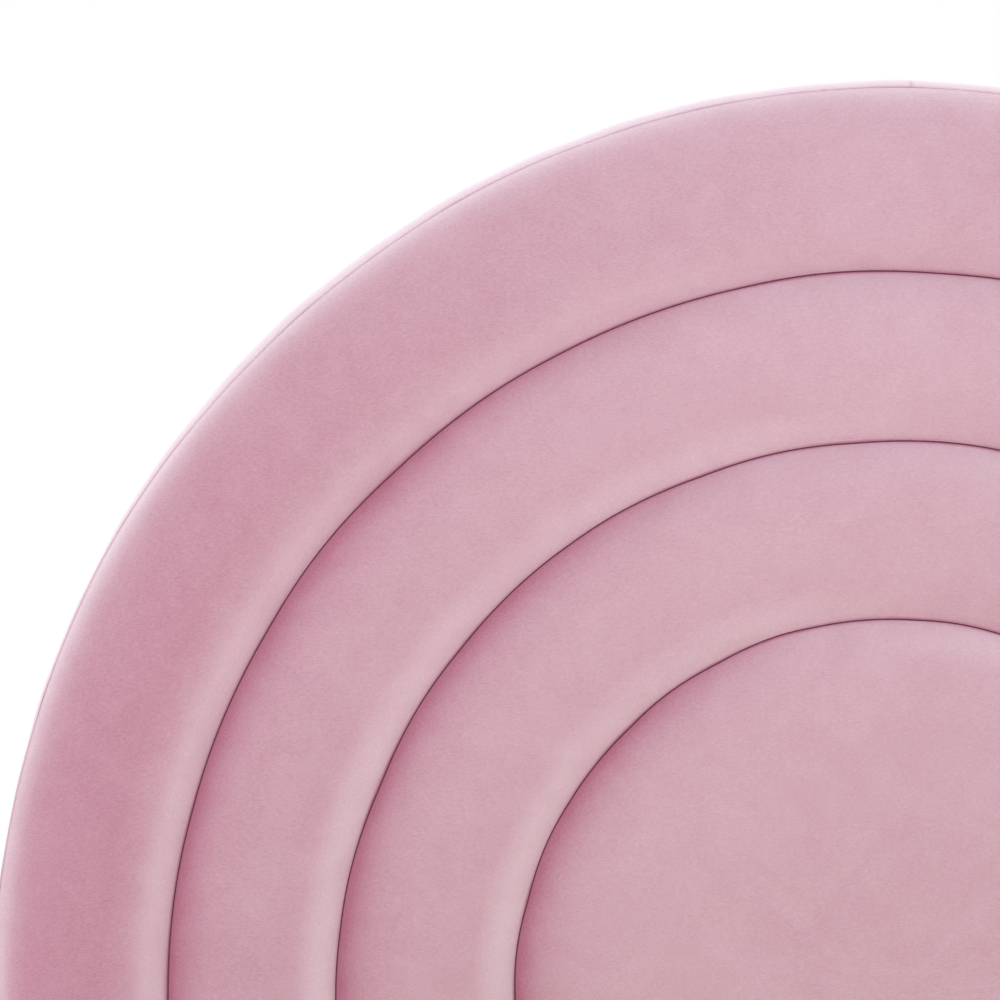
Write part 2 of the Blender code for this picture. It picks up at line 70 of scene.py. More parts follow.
def addNode(tree, kind, settings=None, links=None):
    # settings are the node's own fields, or its sockets' values where it has no such field
    node = tree.nodes.new("ShaderNode" + kind)
    for key, value in (settings or {}).items():
        if isinstance(key, str) and hasattr(node, key):
            setattr(node, key, value)
        else:
            node.inputs[key].default_value = value
    for key, source in (links or {}).items():
        tree.links.new(source, node.inputs[key])
    return node


def startMaterial(name, shaderSettings):
    material = bpy.data.materials.new(name)
    material.use_nodes = True
    tree = material.node_tree
    tree.nodes.clear()
    shader = addNode(tree, "BsdfPrincipled", shaderSettings)
    addNode(tree, "OutputMaterial", links={"Surface": shader.outputs[0]})
    place = addNode(tree, "TexCoord").outputs["Object"]      # metres, and it rides with the piece
    return material, tree, shader, place


def makePiece(name, points, faces, material, body="bed"):
    mesh = bpy.data.meshes.new(name)
    mesh.from_pydata([tuple(p) for p in points], [], faces)
    bm = bmesh.new()
    bm.from_mesh(mesh)
    bmesh.ops.remove_doubles(bm, verts=bm.verts, dist=0.00001)
    bmesh.ops.dissolve_degenerate(bm, edges=bm.edges, dist=0.000005)
    bmesh.ops.recalc_face_normals(bm, faces=bm.faces)
    bm.to_mesh(mesh)
    bm.free()
    mesh.materials.append(material)
    mesh.shade_smooth()
    mesh.set_sharp_from_angle(angle=math.radians(40))
    piece = bpy.data.objects.new(name, mesh)
    scene.collection.objects.link(piece)
    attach(piece, body)
    return piece


def addModifier(piece, kind, **settings):
    modifier = piece.modifiers.new(kind.lower(), kind)
    for key, value in settings.items():
        setattr(modifier, key, value)


def clothe(piece, thickness, node, rounds=1, offset=-1):
    # smooths a skin, gives it its cloth's thickness and puts it in the place of its CAD node
    if rounds:
        addModifier(piece, "SUBSURF", levels=rounds, render_levels=rounds)
    addModifier(piece, "SOLIDIFY", thickness=thickness, offset=offset)
    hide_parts(node)


def gridFaces(rows, columns, wrap=False):
    # quads over a grid of points that is numbered row by row
    faces = []
    for i in range(rows - 1):
        for j in range(columns if wrap else columns - 1):
            k = (j + 1) % columns
            faces.append((i * columns + j, i * columns + k, (i + 1) * columns + k, (i + 1) * columns + j))
    return faces


def endCaps(sides, count):
    # faces that close both ends of a tube of points, numbered ring by ring
    return [tuple(range(sides)), tuple(range(count - sides, count))]


def ripple(places, lengths, seed):
    # smooth, repeatable waves of about -1 to 1 over an array of points, from a few crossing sines
    turns = np.random.RandomState(seed)
    total = np.zeros(len(places))
    for length in lengths:
        for _ in range(3):
            way = turns.normal(size=places.shape[1])
            way /= np.linalg.norm(way)
            total += np.sin(places @ way * math.tau / length + turns.uniform(0, math.tau))
    return total / (3 * len(lengths)) ** 0.5


# Materials, one function for each real one.
def dressShader(tree, shader, pattern, tones=None, rough=None, relief=None):
    # pattern mixes the two tones, or is the colour itself where there are none, and may drive the roughness
    # relief is (height, strength, depth in metres)
    colour = pattern
    if tones:
        dark, pale = (linear(tone) for tone in tones)
        colour = addNode(tree, "Mix", {"data_type": "RGBA", 6: dark, 7: pale}, {0: pattern}).outputs[2]
    tree.links.new(colour, shader.inputs["Base Color"])
    if rough:
        span = addNode(tree, "MapRange", {"To Min": rough[0], "To Max": rough[1]}, {0: pattern})
        tree.links.new(span.outputs[0], shader.inputs["Roughness"])
    if relief:
        height, strength, depth = relief
        bump = addNode(tree, "Bump", {"Strength": strength, "Distance": depth}, {"Height": height})
        tree.links.new(bump.outputs[0], shader.inputs["Normal"])


noiseSpan = {"From Min": 0.3, "From Max": 0.7}     # nearly all of a noise texture's values
waveTurns = math.tau / 20     # a wave texture's scale for one line in each metre
velvetLook = {
    "deep": "#b9768e",        # the velvet's own colour, where no painted sheen is mixed in: so it also gives the painted shade in folds, at seams and on left-leaning edges
    "paintedSheen": "#eedbe7",       # painted sheen: the pale tone mixed in where the pile is painted as lit
    "tuftMm": (3.2, 1.2),     # real tufts are 0.3 mm, drawn coarser so that they show, and longer across
    "brushMm": 40,            # hand marks in the pile
    "fleck": 0.075,           # how far a tuft strays in tone
    "mark": 0.03,             # and a hand mark
}


def velvetCloth(name):
    # Cut-pile polyester velvet: a dense upright pile on a woven back, never glossy. The fibres' tips scatter
    # light, which the sheen shader gives at grazing angles.
    #     # The base colour is painted too: paler on edges that face the light and round the rim (painted
    #     sheen and highlight), deeper in folds, at seams and on left-leaning edges (painted shade).
    look = velvetLook
    material, tree, shader, place = startMaterial(name, {
        "Roughness": 0.95, "IOR": 1.45, "Specular IOR Level": 0.05,
        "Sheen Weight": 0.5, "Sheen Roughness": 0.45, "Sheen Tint": linear("#fff1f7"),
    })
    wide, tall = (1000 / mm for mm in look["tuftMm"])
    lying = addNode(tree, "Mapping", {"Scale": (wide, tall, tall)}, {0: place}).outputs[0]
    tuft = addNode(tree, "TexNoise", {"Scale": 1, "Detail": 2, "Distortion": 0.4}, {0: lying}).outputs[0]
    brush = addNode(tree, "TexNoise", {"Scale": 1000 / look["brushMm"], "Detail": 3, "Distortion": 0.8},
                    {0: place}).outputs[0]
    # how much painted sheen each place has, against painted shade where it has little
    share = addNode(tree, "Attribute", {"attribute_name": "paintedSheen"}).outputs["Fac"]
    for noise, reach in ((brush, look["mark"]), (tuft, look["fleck"])):
        stray = addNode(tree, "MapRange", {**noiseSpan, "To Min": -reach, "To Max": reach}, {0: noise})
        share = addNode(tree, "Math", {"operation": "ADD"}, {0: share, 1: stray.outputs[0]}).outputs[0]
    dressShader(tree, shader, share, (look["deep"], look["paintedSheen"]), relief=(tuft, 0.6, 0.0005))
    return material


def openCellFoam():
    # Cut polyurethane foam, sliced from a block: a cream colour, and fine open cells that take light in.
    surface = {"Roughness": 0.95, "Specular IOR Level": 0.2}
    material, tree, shader, place = startMaterial("foamOpenCell", surface)
    cells = addNode(tree, "TexVoronoi", {"Scale": 600}, {0: place}).outputs["Distance"]     # 1.7 mm cells
    dressShader(tree, shader, cells, ("#c9b98a", "#efe6c4"), relief=(cells, 0.6, 0.0006))
    return material


pineLook = {
    "early": "#e2c193",       # soft spring wood
    "late": "#c4945a",        # the dark line that closes each year
    "knot": "#7c4a25",
    "ringMm": 9,              # spacing of the lines on a flat-sawn face
    "fibreMm": 0.8,
}


def pineWood(name, along):
    # Planed softwood, unfinished: long streaks of grain, a few knots, dry and slightly rough.
    # along is the axis that the grain runs on: 0, 1 or 2
    look = pineLook
    surface = {"Roughness": 0.62, "IOR": 1.5, "Specular IOR Level": 0.3}
    material, tree, shader, place = startMaterial(name, surface)
    stretch = [1.0, 1.0, 1.0]
    stretch[along] = 0.06
    long = addNode(tree, "Mapping", {"Scale": stretch}, {0: place}).outputs[0]
    sway = addNode(tree, "TexNoise", {"Scale": 14, "Detail": 2}, {0: long})
    bent = addNode(tree, "VectorMath", {"operation": "MULTIPLY_ADD", 1: (0.045, 0.045, 0.045)},
                   {0: sway.outputs["Color"], 2: long})
    rings = addNode(tree, "TexWave", {
        "Scale": waveTurns * 1000 / look["ringMm"], "Distortion": 1.5, "Detail": 2,
        "wave_type": "RINGS", "rings_direction": "XYZ"[along],
    }, {0: bent.outputs[0]})
    line = addNode(tree, "MapRange", {"From Min": 0.55, "From Max": 1.0, "To Max": 0.5},
                   {0: rings.outputs[1]})
    tone = addNode(tree, "Mix", {"data_type": "RGBA", 6: linear(look["early"]), 7: linear(look["late"])},
                   {0: line.outputs[0]})
    knots = addNode(tree, "TexVoronoi", {"Scale": 2.6, "Randomness": 1}, {0: place})
    dark = addNode(tree, "MapRange", {"From Min": 0.02, "From Max": 0.045, "To Min": 0.85, "To Max": 0},
                   {0: knots.outputs["Distance"]})
    tone = addNode(tree, "Mix", {"data_type": "RGBA", 7: linear(look["knot"])},
                   {0: dark.outputs[0], 6: tone.outputs[2]})
    fibre = addNode(tree, "TexNoise", {"Scale": 1000 / look["fibreMm"], "Detail": 2}, {0: long}).outputs[0]
    fine = addNode(tree, "MapRange", {**noiseSpan, "To Min": 0.93, "To Max": 1.05}, {0: fibre})
    colour = addNode(tree, "VectorMath", {"operation": "SCALE"}, {0: tone.outputs[2], 3: fine.outputs[0]})
    dressShader(tree, shader, colour.outputs[0], relief=(fibre, 0.3, 0.0003))
    return material


def birchPlywood():
    # Rotary-cut birch veneers glued crosswise: a pale, lazy grain on the face and thin layers on the edge.
    surface = {"Roughness": 0.6, "Specular IOR Level": 0.3}
    material, tree, shader, place = startMaterial("plywoodBirch", surface)
    axes = addNode(tree, "SeparateXYZ", links={0: place}).outputs
    twoVeneers = 0.003        # metres
    layer = addNode(tree, "Math", {"operation": "MULTIPLY", 1: 1 / twoVeneers}, {0: axes[1]})
    band = addNode(tree, "Math", {"operation": "FRACT"}, {0: layer.outputs[0]})
    cross = addNode(tree, "MapRange", {"From Min": 0.42, "From Max": 0.5}, {0: band.outputs[0]})
    lazy = addNode(tree, "Mapping", {"Scale": (2, 1, 9)}, {0: place}).outputs[0]
    grain = addNode(tree, "TexNoise", {"Scale": 9, "Detail": 4, "Distortion": 1.2}, {0: lazy}).outputs[0]
    tone = addNode(tree, "Mix", {"data_type": "RGBA", 6: linear("#e3caa0"), 7: linear("#cda874")}, {0: grain})
    tone = addNode(tree, "Mix", {"data_type": "RGBA", 7: linear("#b58f5f")},
                   {0: cross.outputs[0], 6: tone.outputs[2]})
    dressShader(tree, shader, tone.outputs[2], relief=(grain, 0.2, 0.0003))
    return material


def stainedBeech():
    # Turned and squared beech, stained near black and lacquered satin: grain shows only as faint flecks.
    material, tree, shader, place = startMaterial("beechStained", {
        "IOR": 1.5, "Specular IOR Level": 0.5, "Coat Weight": 0.25, "Coat Roughness": 0.3,
    })
    long = addNode(tree, "Mapping", {"Scale": (1, 1, 0.12)}, {0: place}).outputs[0]
    fleck = addNode(tree, "TexNoise", {"Scale": 420, "Detail": 3}, {0: long}).outputs[0]
    dressShader(tree, shader, fleck, ("#1d1512", "#3b2a22"), (0.32, 0.5), (fleck, 0.2, 0.0002))
    return material


def spunCambric():
    # Spun-bonded polypropylene, pressed with dots: thin black cloth, dull, with faint dimples in rows.
    # The dimples are 4.5 mm apart, where real ones are 1 mm, so that they show.
    surface = {"Roughness": 0.88, "Specular IOR Level": 0.25}
    material, tree, shader, place = startMaterial("cambricSpunBonded", surface)
    dots = addNode(tree, "TexVoronoi", {"Scale": 220, "Randomness": 0.15}, {0: place})
    fuzz = addNode(tree, "TexNoise", {"Scale": 900, "Detail": 3}, {0: place}).outputs[0]
    dressShader(tree, shader, fuzz, ("#101012", "#2b2b2e"), relief=(dots.outputs["Distance"], 0.5, 0.0004))
    return material


def wovenWebbing():
    # Plain-woven polypropylene tape: off-white, with ribs across it and a slight plastic shine.
    material, tree, shader, place = startMaterial("webbingPolypropylene", {"Roughness": 0.55, "IOR": 1.49})
    ribs, ends = (
        addNode(tree, "TexWave", {"Scale": waveTurns * 1000 / mm, "bands_direction": way}, {0: place})
        for mm, way in ((2.2, "Y"), (1.6, "X"))
    )
    weave = addNode(tree, "Math", {"operation": "MULTIPLY"}, {0: ribs.outputs[1], 1: ends.outputs[1]})
    height = weave.outputs[0]
    dressShader(tree, shader, height, ("#aeaa9f", "#e9e6dd"), relief=(height, 0.7, 0.0004))
    return material


def powderCoatedSteel():
    # Pressed steel with a black powder coat, baked on: satin, with a fine orange-peel skin.
    surface = {"IOR": 1.5, "Specular IOR Level": 0.5}
    material, tree, shader, place = startMaterial("steelPowderCoated", surface)
    peel = addNode(tree, "TexNoise", {"Scale": 1000 / 1.5, "Detail": 1}, {0: place}).outputs[0]
    wear = addNode(tree, "TexNoise", {"Scale": 40, "Detail": 4}, {0: place}).outputs[0]
    dressShader(tree, shader, wear, ("#191a1c", "#2c2d30"), (0.35, 0.55), (peel, 0.25, 0.0002))
    return material


def zincPlatedSteel(name="steelZincPlated", pale="#c9cac6", dull="#8f928f"):
    # Cold-headed steel with bright zinc: cool grey, a little cloudy, with soft reflections.
    material, tree, shader, place = startMaterial(name, {"Metallic": 1.0})
    cloud = addNode(tree, "TexNoise", {"Scale": 180, "Detail": 4}, {0: place}).outputs[0]
    dressShader(tree, shader, cloud, (dull, pale), (0.22, 0.42))
    return material


def mouldedNylon():
    # Injection-moulded black nylon: matt from a spark-eroded mould, a shade paler where it is scuffed.
    material, tree, shader, place = startMaterial("nylonMoulded", {"IOR": 1.53})
    grit = addNode(tree, "TexNoise", {"Scale": 1000 / 0.9, "Detail": 2}, {0: place}).outputs[0]
    scuff = addNode(tree, "TexNoise", {"Scale": 90, "Detail": 5}, {0: place}).outputs[0]
    dressShader(tree, shader, scuff, ("#151516", "#303032"), (0.45, 0.65), (grit, 0.4, 0.0002))
    return material


def seamShadeThread():
    # Bonded polyester thread deep in a seam. Its dark plum, darker than the cloth, is painted seam shade,
    # where little light gets in.
    surface = {"Roughness": 0.7, "Specular IOR Level": 0.3}
    material, tree, shader, place = startMaterial("threadPaintedSeamShade", surface)
    twist = addNode(tree, "TexNoise", {"Scale": 1000 / 1.2, "Detail": 1}, {0: place}).outputs[0]
    dressShader(tree, shader, twist, ("#5c2243", "#7d3b5c"), relief=(twist, 0.4, 0.0002))
    return material


finish = {
    "velvet": velvetCloth("velvetBrushed"),
    "foam": openCellFoam(),
    "pineX": pineWood("pineAcross", 0),
    "pineY": pineWood("pineLengthwise", 1),
    "pineZ": pineWood("pineUpright", 2),
    "plywood": birchPlywood(),
    "beech": stainedBeech(),
    "cambric": spunCambric(),
    "webbing": wovenWebbing(),
    "steel": powderCoatedSteel(),
    "zinc": zincPlatedSteel(),
    "staple": zincPlatedSteel("steelStaple", "#b9b7ae", "#85837b"),
    "nylon": mouldedNylon(),
    "thread": seamShadeThread(),
}
print("materials made:", len(finish))


# Shapes that follow the arch.
def archStations(arcCount, legHeights, extraTurns=()):
    # (across, up, drop, turn) from the right foot, over the top, to the left foot
    turns = sorted({math.pi * i / arcCount for i in range(arcCount + 1)} | set(extraTurns))
    drops = [arch["footZ"] + h - arch["springZ"] for h in legHeights]
    right = [(1.0, 0.0, d, 0.0) for d in drops]
    left = [(-1.0, 0.0, d, math.pi) for d in reversed(drops)]
    return right + [(math.cos(a), math.sin(a), 0.0, a) for a in turns] + left


def seamShare(radius):
    # 0 at the rim, and 1 from the first seam inwards
    return np.clip((arch["radius"] - radius) / (arch["radius"] - arch["seams"][0]), 0, 1)


def archPoint(station, radius, depth):
    across, up, drop, _ = station
    if not drop:
        drop = (arch["seamSpringZ"] - arch["springZ"]) * float(seamShare(radius))
    return (radius * across, arch["backY"] - depth, arch["springZ"] + radius * up + drop)


def seamWander(station, seed):
    # a sewn seam wanders by about a millimetre, and is drawn in a little at each tack
    _, _, drop, turn = station
    run = turn * 3.1 + drop * 4 + seed
    tack = abs(math.sin(run * 3.7 + seed))
    return 0.0005 * math.sin(run * 2.3) + 0.0004 * math.sin(run * 5.1 + 1) + 0.0009 * (tack - 0.64)


rimInset = (                  # (degrees from the top, how far the edge seam lies inside the rim)
    (0, 0.0072), (25, 0.0078), (46, 0.0080), (55, 0.0052),
    (62, 0.0036), (74, 0.0042), (80, 0.0026), (85, 0.0009),
)


def rimSeam(station):
    # radius of the seam between the outer pad and the edge band: the band shows most near the top
    turned = abs(math.degrees(station[3]) - 90)
    return arch["radius"] - float(np.interp(turned, *zip(*rimInset))) + 0.4 * seamWander(station, 0)


def edgeRise(share, power):
    # 0 at an edge, 1 once share reaches 1
    # power 0.5 is a quarter of an ellipse, and 1 is a parabola that starts as a slope
    share = min(max(share, 0.0), 1.0)
    return (1 - (1 - share) ** 2) ** power


padLook = {
    "arcCount": 200,
    "coreArcCount": 60,
    "legHeights": (0, 0.003, 0.008, 0.015, 0.024, 0.036, 0.052, 0.075, 0.1, 0.13, 0.155),
    "roundSteps": 9,
    "levelStep": 0.022,      # between rows on a pad's level part
    "rounding": ((0.034, 0.112), (0.044, 0.044), (0.046, 0.042), (0, 0.046)),   # at each pad's two seams
    "footRound": 0.034,      # at the lower end
    "seamDepth": 0.0925,     # where two pads' velvets meet
    "rimDepth": 0.0885,
    "edgePower": 0.85,       # how steeply a pad rises from its seams
    "footPower": 0.55,
    "crisp": 0.0005,         # the cloth turns into a seam this sharply
    "seamGap": 0.0003,       # half the slit between two pads
    "rimGap": 0.00005,
    "fullness": 0.0012,
    "skin": 0.0018,          # thickness of the velvet
    "clear": 0.0006,         # of the plywood, at the pads' backs
    "foamInset": 0.0042,
    "held": (0.35, 0.5, 0.07),   # cloth is held below these rises, at seams and foot, and inside this radius
}


def padAcross(inner, outer, innerRound, outerRound):
    # radii across a pad, closer together where it is rounded
    steps = padLook["roundSteps"]
    quarter = [math.pi / 2 * i / steps for i in range(steps + 1)]
    near = [0.0, inner + 0.05]
    if inner > 0:
        near = [inner + innerRound * (1 - math.cos(a)) for a in quarter]
        near.insert(1, inner + padLook["crisp"])
    far = [outer - outerRound * (1 - math.cos(a)) for a in reversed(quarter)]
    far.insert(-1, outer - padLook["crisp"])
    count = max(2, round((far[0] - near[-1]) / padLook["levelStep"]))
    middle = [near[-1] + (far[0] - near[-1]) * i / count for i in range(1, count)]
    return near + (middle + far if far[0] > near[-1] + 0.004 else far[1:])


padBase = arch["skin"] + padLook["clear"]


def footRise(station, inset=0.0):
    # the pads curl back to the plywood over their lowest few centimetres, and the edge band with them
    aboveFoot = station[2] + arch["springZ"] - arch["footZ"] - inset
    return edgeRise(aboveFoot / padLook["footRound"], padLook["footPower"])


def padSkin(index, inner, outer, arcCount, inset=0.0):
    # the velvet's outer face, or with an inset the foam inside it
    look = padLook
    innerRound, outerRound = look["rounding"][index]
    outerDepth = look["seamDepth"] if index else look["rimDepth"]
    heldRise, heldFoot, heldRadius = look["held"]
    stations = archStations(arcCount, [h + inset for h in look["legHeights"]])
    low = inner + look["seamGap"] + inset if inner > 0 else 0.0
    high = outer - (look["seamGap"] if index else look["rimGap"]) - inset
    radii = padAcross(low, high, innerRound, outerRound)
    points, pins = [], []
    for station in stations:
        foot = footRise(station, inset)
        shiftIn = seamWander(station, index + 1) if inner > 0 else 0.0
        shiftOut = seamWander(station, index) if index else rimSeam(station) - outer
        row = []
        for r in radii:
            share = (r - low) / (high - low)
            near = edgeRise((r - low) / innerRound, look["edgePower"]) if inner > 0 else 1.0
            far = edgeRise((high - r) / outerRound, look["edgePower"])
            depth = arch["crown"] - (arch["crown"] - look["seamDepth"]) * (1 - near)
            depth -= (arch["crown"] - outerDepth) * (1 - far)
            depth -= look["fullness"] * (1 - math.sin(math.pi * share) if inner > 0 else share ** 2)
            depth = padBase + (depth - inset - padBase) * foot
            held = min(near, far) < heldRise or foot < heldFoot or (inner == 0 and r < heldRadius)
            row.append((r + shiftIn * (1 - share) + shiftOut * share, depth, held))
        innerEdge, outerEdge = (
            [(r, depth - look["crisp"] * foot, True), (r, (padBase + depth) / 2, True), (r, padBase, True)]
            for r, depth, _ in (row[0], row[-1])
        )
        if inner > 0:
            row = innerEdge[::-1] + row
        elif inset:
            row = [(0.0, padBase, True)] + row
        row += outerEdge
        for r, depth, held in row:
            points.append(archPoint(station, r, depth))
            pins.append(held)
    return points, pins, gridFaces(len(stations), len(points) // len(stations), wrap=inset > 0)


clothLook = {
    "frames": 20,
    "quality": 6,            # steps in each frame
    "mass": 0.35,
    "stretch": 25,           # stiffness of each kind
    "shear": 12,
    "bending": 6,
    "pressure": 4,
    "slack": -0.006,         # the cloth is cut a little large, so that it can swell
    "cap": 0.006,            # how far the stuffing lets it move
    "settle": 0.6,           # share of the movement that is kept
}


def settleCloth(piece, held):
    # velvet that is held at the seams and swells between them
    look = clothLook
    mesh = piece.data
    count = len(mesh.vertices)
    rest = np.zeros(count * 3, np.float32)
    mesh.vertices.foreach_get("co", rest)
    group = piece.vertex_groups.new(name="held")
    group.add([i for i in range(count) if held[i]], 1.0, "REPLACE")
    cloth = piece.modifiers.new("cloth", "CLOTH")
    settings = cloth.settings
    settings.quality = look["quality"]
    settings.mass = look["mass"]
    settings.tension_stiffness = look["stretch"]
    settings.compression_stiffness = look["stretch"]
    settings.shear_stiffness = look["shear"]
    settings.bending_stiffness = look["bending"]
    settings.shrink_min = look["slack"]
    settings.vertex_group_mass = group.name
    settings.use_pressure = True
    settings.uniform_pressure_force = look["pressure"]
    settings.effector_weights.gravity = 0
    cloth.collision_settings.use_collision = False
    for number in range(1, look["frames"] + 1):
        scene.frame_set(number)
    moved = piece.evaluated_get(bpy.context.evaluated_depsgraph_get()).to_mesh()
    now = np.zeros(count * 3, np.float32)
    moved.vertices.foreach_get("co", now)
    piece.modifiers.remove(cloth)
    piece.vertex_groups.remove(group)
    scene.frame_set(1)
    step = (now - rest).reshape(-1, 3) * look["settle"]
    length = np.linalg.norm(step, axis=1, keepdims=True)
    step *= np.minimum(1, look["cap"] / np.maximum(length, 1e-9))
    print("   cloth moved up to", round(float(length.max()) * 1000, 1), "mm")
    mesh.vertices.foreach_set("co", (rest.reshape(-1, 3) + step).ravel())
    mesh.update()


paintedLightLook = {
    # painted sheen and shade on the velvet: how pale each pad's level part is painted, at the top of the
    # arch, and at its sides, where it is painted deeper
    "level": ((0.46, 0.21), (0.50, 0.40), (0.49, 0.46), (0.49, 0.51)),
    "sidePower": 1.2,
    "against": (0.004, 0.020),     # painted shade: an edge that leans left is painted deep, fading over these metres
    "along": (0.018, 0.040),       # painted highlight: an edge that leans right is painted pale
    "pale": (0.53, 0.64, 0.66),    # how pale that painted highlight is at 45 degrees, and paler at the sides
    "paler": (0.13, 2.33, 0.3),    # how much more, and where on the sides it starts and how fast
    "slitShade": (0.002, 0.1),          # painted shade: deep in colour this near to where two pads meet, and down to this share
    "rim": (0.48, 0.008, 0.7),     # painted sheen: extra paleness along the headboard's rim, its reach, and more of it at 45 degrees
    "flat": 0.44,                  # rails and other level pieces
    "band": (0.25, 1.0, 0.5),      # painted shade beside its seam, painted sheen round the rim, and back along the side
}


def setPaintedLight(piece, values):
    # painted sheen and shade, stored on the mesh, for the velvet to read
    layer = piece.data.attributes.new("paintedSheen", "FLOAT", "POINT")
    layer.data.foreach_set("value", np.broadcast_to(values, len(piece.data.vertices)).astype(np.float32))


def paintPadLight(piece, index, inner, outer):
    # painted light and shade: a pad's left-leaning edges are painted deep (painted shade) and its
    # right-leaning ones pale (painted highlight), as though the pile lay towards +X
    look = paintedLightLook
    places = np.array([tuple(v.co) for v in piece.data.vertices])
    x, z = places[:, 0], places[:, 2]
    radius = np.abs(x)
    for _ in range(3):        # the arch's centre drops with the radius, so each pass comes closer
        centre = arch["springZ"] + (arch["seamSpringZ"] - arch["springZ"]) * seamShare(radius)
        radius = np.hypot(x, np.maximum(z - centre, 0))
    side = np.abs(x) / np.maximum(radius, 1e-6)
    left = np.clip(-x / np.maximum(radius, 1e-6), -1, 1)
    # painted light: the level part is paler at the top of the arch than at its sides
    top, flank = look["level"][index]
    value = top + (flank - top) * side ** look["sidePower"]
    start, fade = look["against"]
    near, far = look["along"]
    more, sideStart, sideFade = look["paler"]
    for lean, away, isOuter in ((left, outer - radius, True), (-left, radius - inner, False)):
        if index == 0 and isOuter:
            # painted sheen along the headboard's rim
            extra, reach, middle = look["rim"]
            extra = extra * (1 + middle * 4 * side ** 2 * (1 - side ** 2))
            value = value + extra * np.exp(-np.maximum(away, 0) / reach)
            continue
        if index == 3 and not isOuter:
            continue
        # painted shade on edges that lean left, painted highlight on edges that lean right
        against = np.clip((lean - 0.2) / 0.5, 0, 1) * np.exp(-np.maximum(away - start, 0) / fade)
        along = np.clip(-lean / 0.5 + 0.3, 0, 1) * np.clip((far - away) / (far - near), 0, 1)
        pale = look["pale"][index - 1 if isOuter else index]
        pale = pale + more * np.clip(side / sideFade - sideStart, 0, 1)
        value = value + (pale - value) * along
        value = value * (1 - against)
    # painted shade where two pads meet
    slits = ([outer - radius] if index else []) + ([radius - inner] if inner else [])
    width, least = look["slitShade"]
    for away in slits:
        value = value * np.clip(away / width, least, 1)
    setPaintedLight(piece, value)


def rounded(point):
    # a point to a hundredth of a millimetre, so that it can be looked up
    return tuple(round(c, 5) for c in point)


def makePads():
    rimRadius = arch["radius"] - 0.0065      # the edge seam's middle radius, which rimSeam wanders about
    edges = [rimRadius, *arch["seams"], 0]
    for index, name in enumerate(("outer_arch", "second_arch", "third_arch", "centre_panel")):
        outer, inner = edges[index:index + 2]
        points, pins, faces = padSkin(index, inner, outer, padLook["arcCount"])
        piece = makePiece(name + "_velvet", points, faces, finish["velvet"])
        paintPadLight(piece, index, inner, outer)
        keyed = {rounded(p): pin for p, pin in zip(points, pins)}
        settleCloth(piece, [keyed.get(rounded(v.co), True) for v in piece.data.vertices])
        clothe(piece, padLook["skin"], name + "_cover")
        points, _, faces = padSkin(index, inner, outer, padLook["coreArcCount"], padLook["foamInset"])
        core = makePiece(name + "_core", points, faces, finish["foam"])
        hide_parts(name + "_foam")
    print("pads made")


bandLook = {
    "tuck": ((0.0006, 0.0060), (0.0005, 0.0025), (0.0004, 0.0008)),   # (in, down), under the pad
    "rollSteps": 7,
    "rollDepths": (0.0882, 0.055),    # from the seam to the fullest part of the edge
    "back": (                         # (radius from the rim, depth) down the edge and in behind the frame
        (-0.0002, 0.0400), (-0.0004, 0.0250), (-0.0006, 0.0120), (-0.0010, 0.0060), (-0.0024, 0.0029),
        (-0.0055, 0.0022), (-0.0120, 0.0021), (-0.0200, 0.0021), (-0.0300, 0.0021), (-0.0340, 0.0021),
    ),
    "arcCount": 240,
    "waveRows": 15,                   # rows of the section that the cloth's waves reach
    "joinX": 0.0150,                  # the band's two ends meet just beside the top
    "joinSteps": (-0.003, -0.0014, -0.0006, 0, 0.0006, 0.0014, 0.003),
    "joinReach": 0.0014,
    "joinDip": 0.0011,
    "joinRows": 4.5,                  # rows that dip at the join, on the roll's front
    # painted shade: how much deeper the pile is painted in the dip where the band's ends meet
    "joinShade": 0.45,
    "paleRows": (2, 4, 7, 10),        # where the three painted tones of paintedLightLook's band start and end
    "leastRise": 0.02,                # at the lower ends, where the band curls in with the pads
    "skin": 0.0014,
    "cutWidth": 0.138,
}


def makeEdgeBand():
    look = bandLook
    rim = arch["radius"]
    joinTurn = math.acos(look["joinX"] / rim)
    near = [joinTurn + step / rim for step in look["joinSteps"]]
    stations = archStations(look["arcCount"], padLook["legHeights"], near)
    start, full = look["rollDepths"]
    seamTone, rimTone, sideTone = paintedLightLook["band"]
    points, paintedLights = [], []
    for station in stations:
        seam = rimSeam(station) + padLook["rimGap"]
        rise = max(footRise(station), look["leastRise"])
        run = station[3] * rim + station[2]
        dip = math.exp(-(abs(run - joinTurn * rim) / look["joinReach"]) ** 2)
        wave = 0.0004 * math.sin(run * 31) + 0.0003 * math.sin(run * 74 + 2)
        section = [(seam - rim - inwards, start - down) for inwards, down in look["tuck"]]
        for i in range(look["rollSteps"]):
            turn = math.pi / 2 * i / (look["rollSteps"] - 1)
            section.append(((seam - rim) * (1 - math.sin(turn)), full + (start - full) * math.cos(turn)))
        section += look["back"]
        for index, (inset, depth) in enumerate(section):
            middle = math.sin(math.pi * min(index / look["waveRows"], 1.0))
            face = math.sin(math.pi * min(max(index - 2, 0) / look["joinRows"], 1.0))
            if depth > padBase:
                depth = padBase + (depth - padBase) * rise
            depth -= look["joinDip"] * dip * face
            points.append(archPoint(station, rim + inset + wave * middle, depth))
            # painted tones: shade beside the seam and in the join's dip, sheen round the rim
            value = np.interp(index, look["paleRows"], (seamTone, rimTone, rimTone, sideTone))
            paintedLights.append(value * (1 - look["joinShade"] * dip * face))
    faces = gridFaces(len(stations), len(section))
    band = makePiece("edge_band_velvet", points, faces, finish["velvet"])
    setPaintedLight(band, paintedLights)
    clothe(band, look["skin"], "headboard_edge_band")
    print("edge band made")


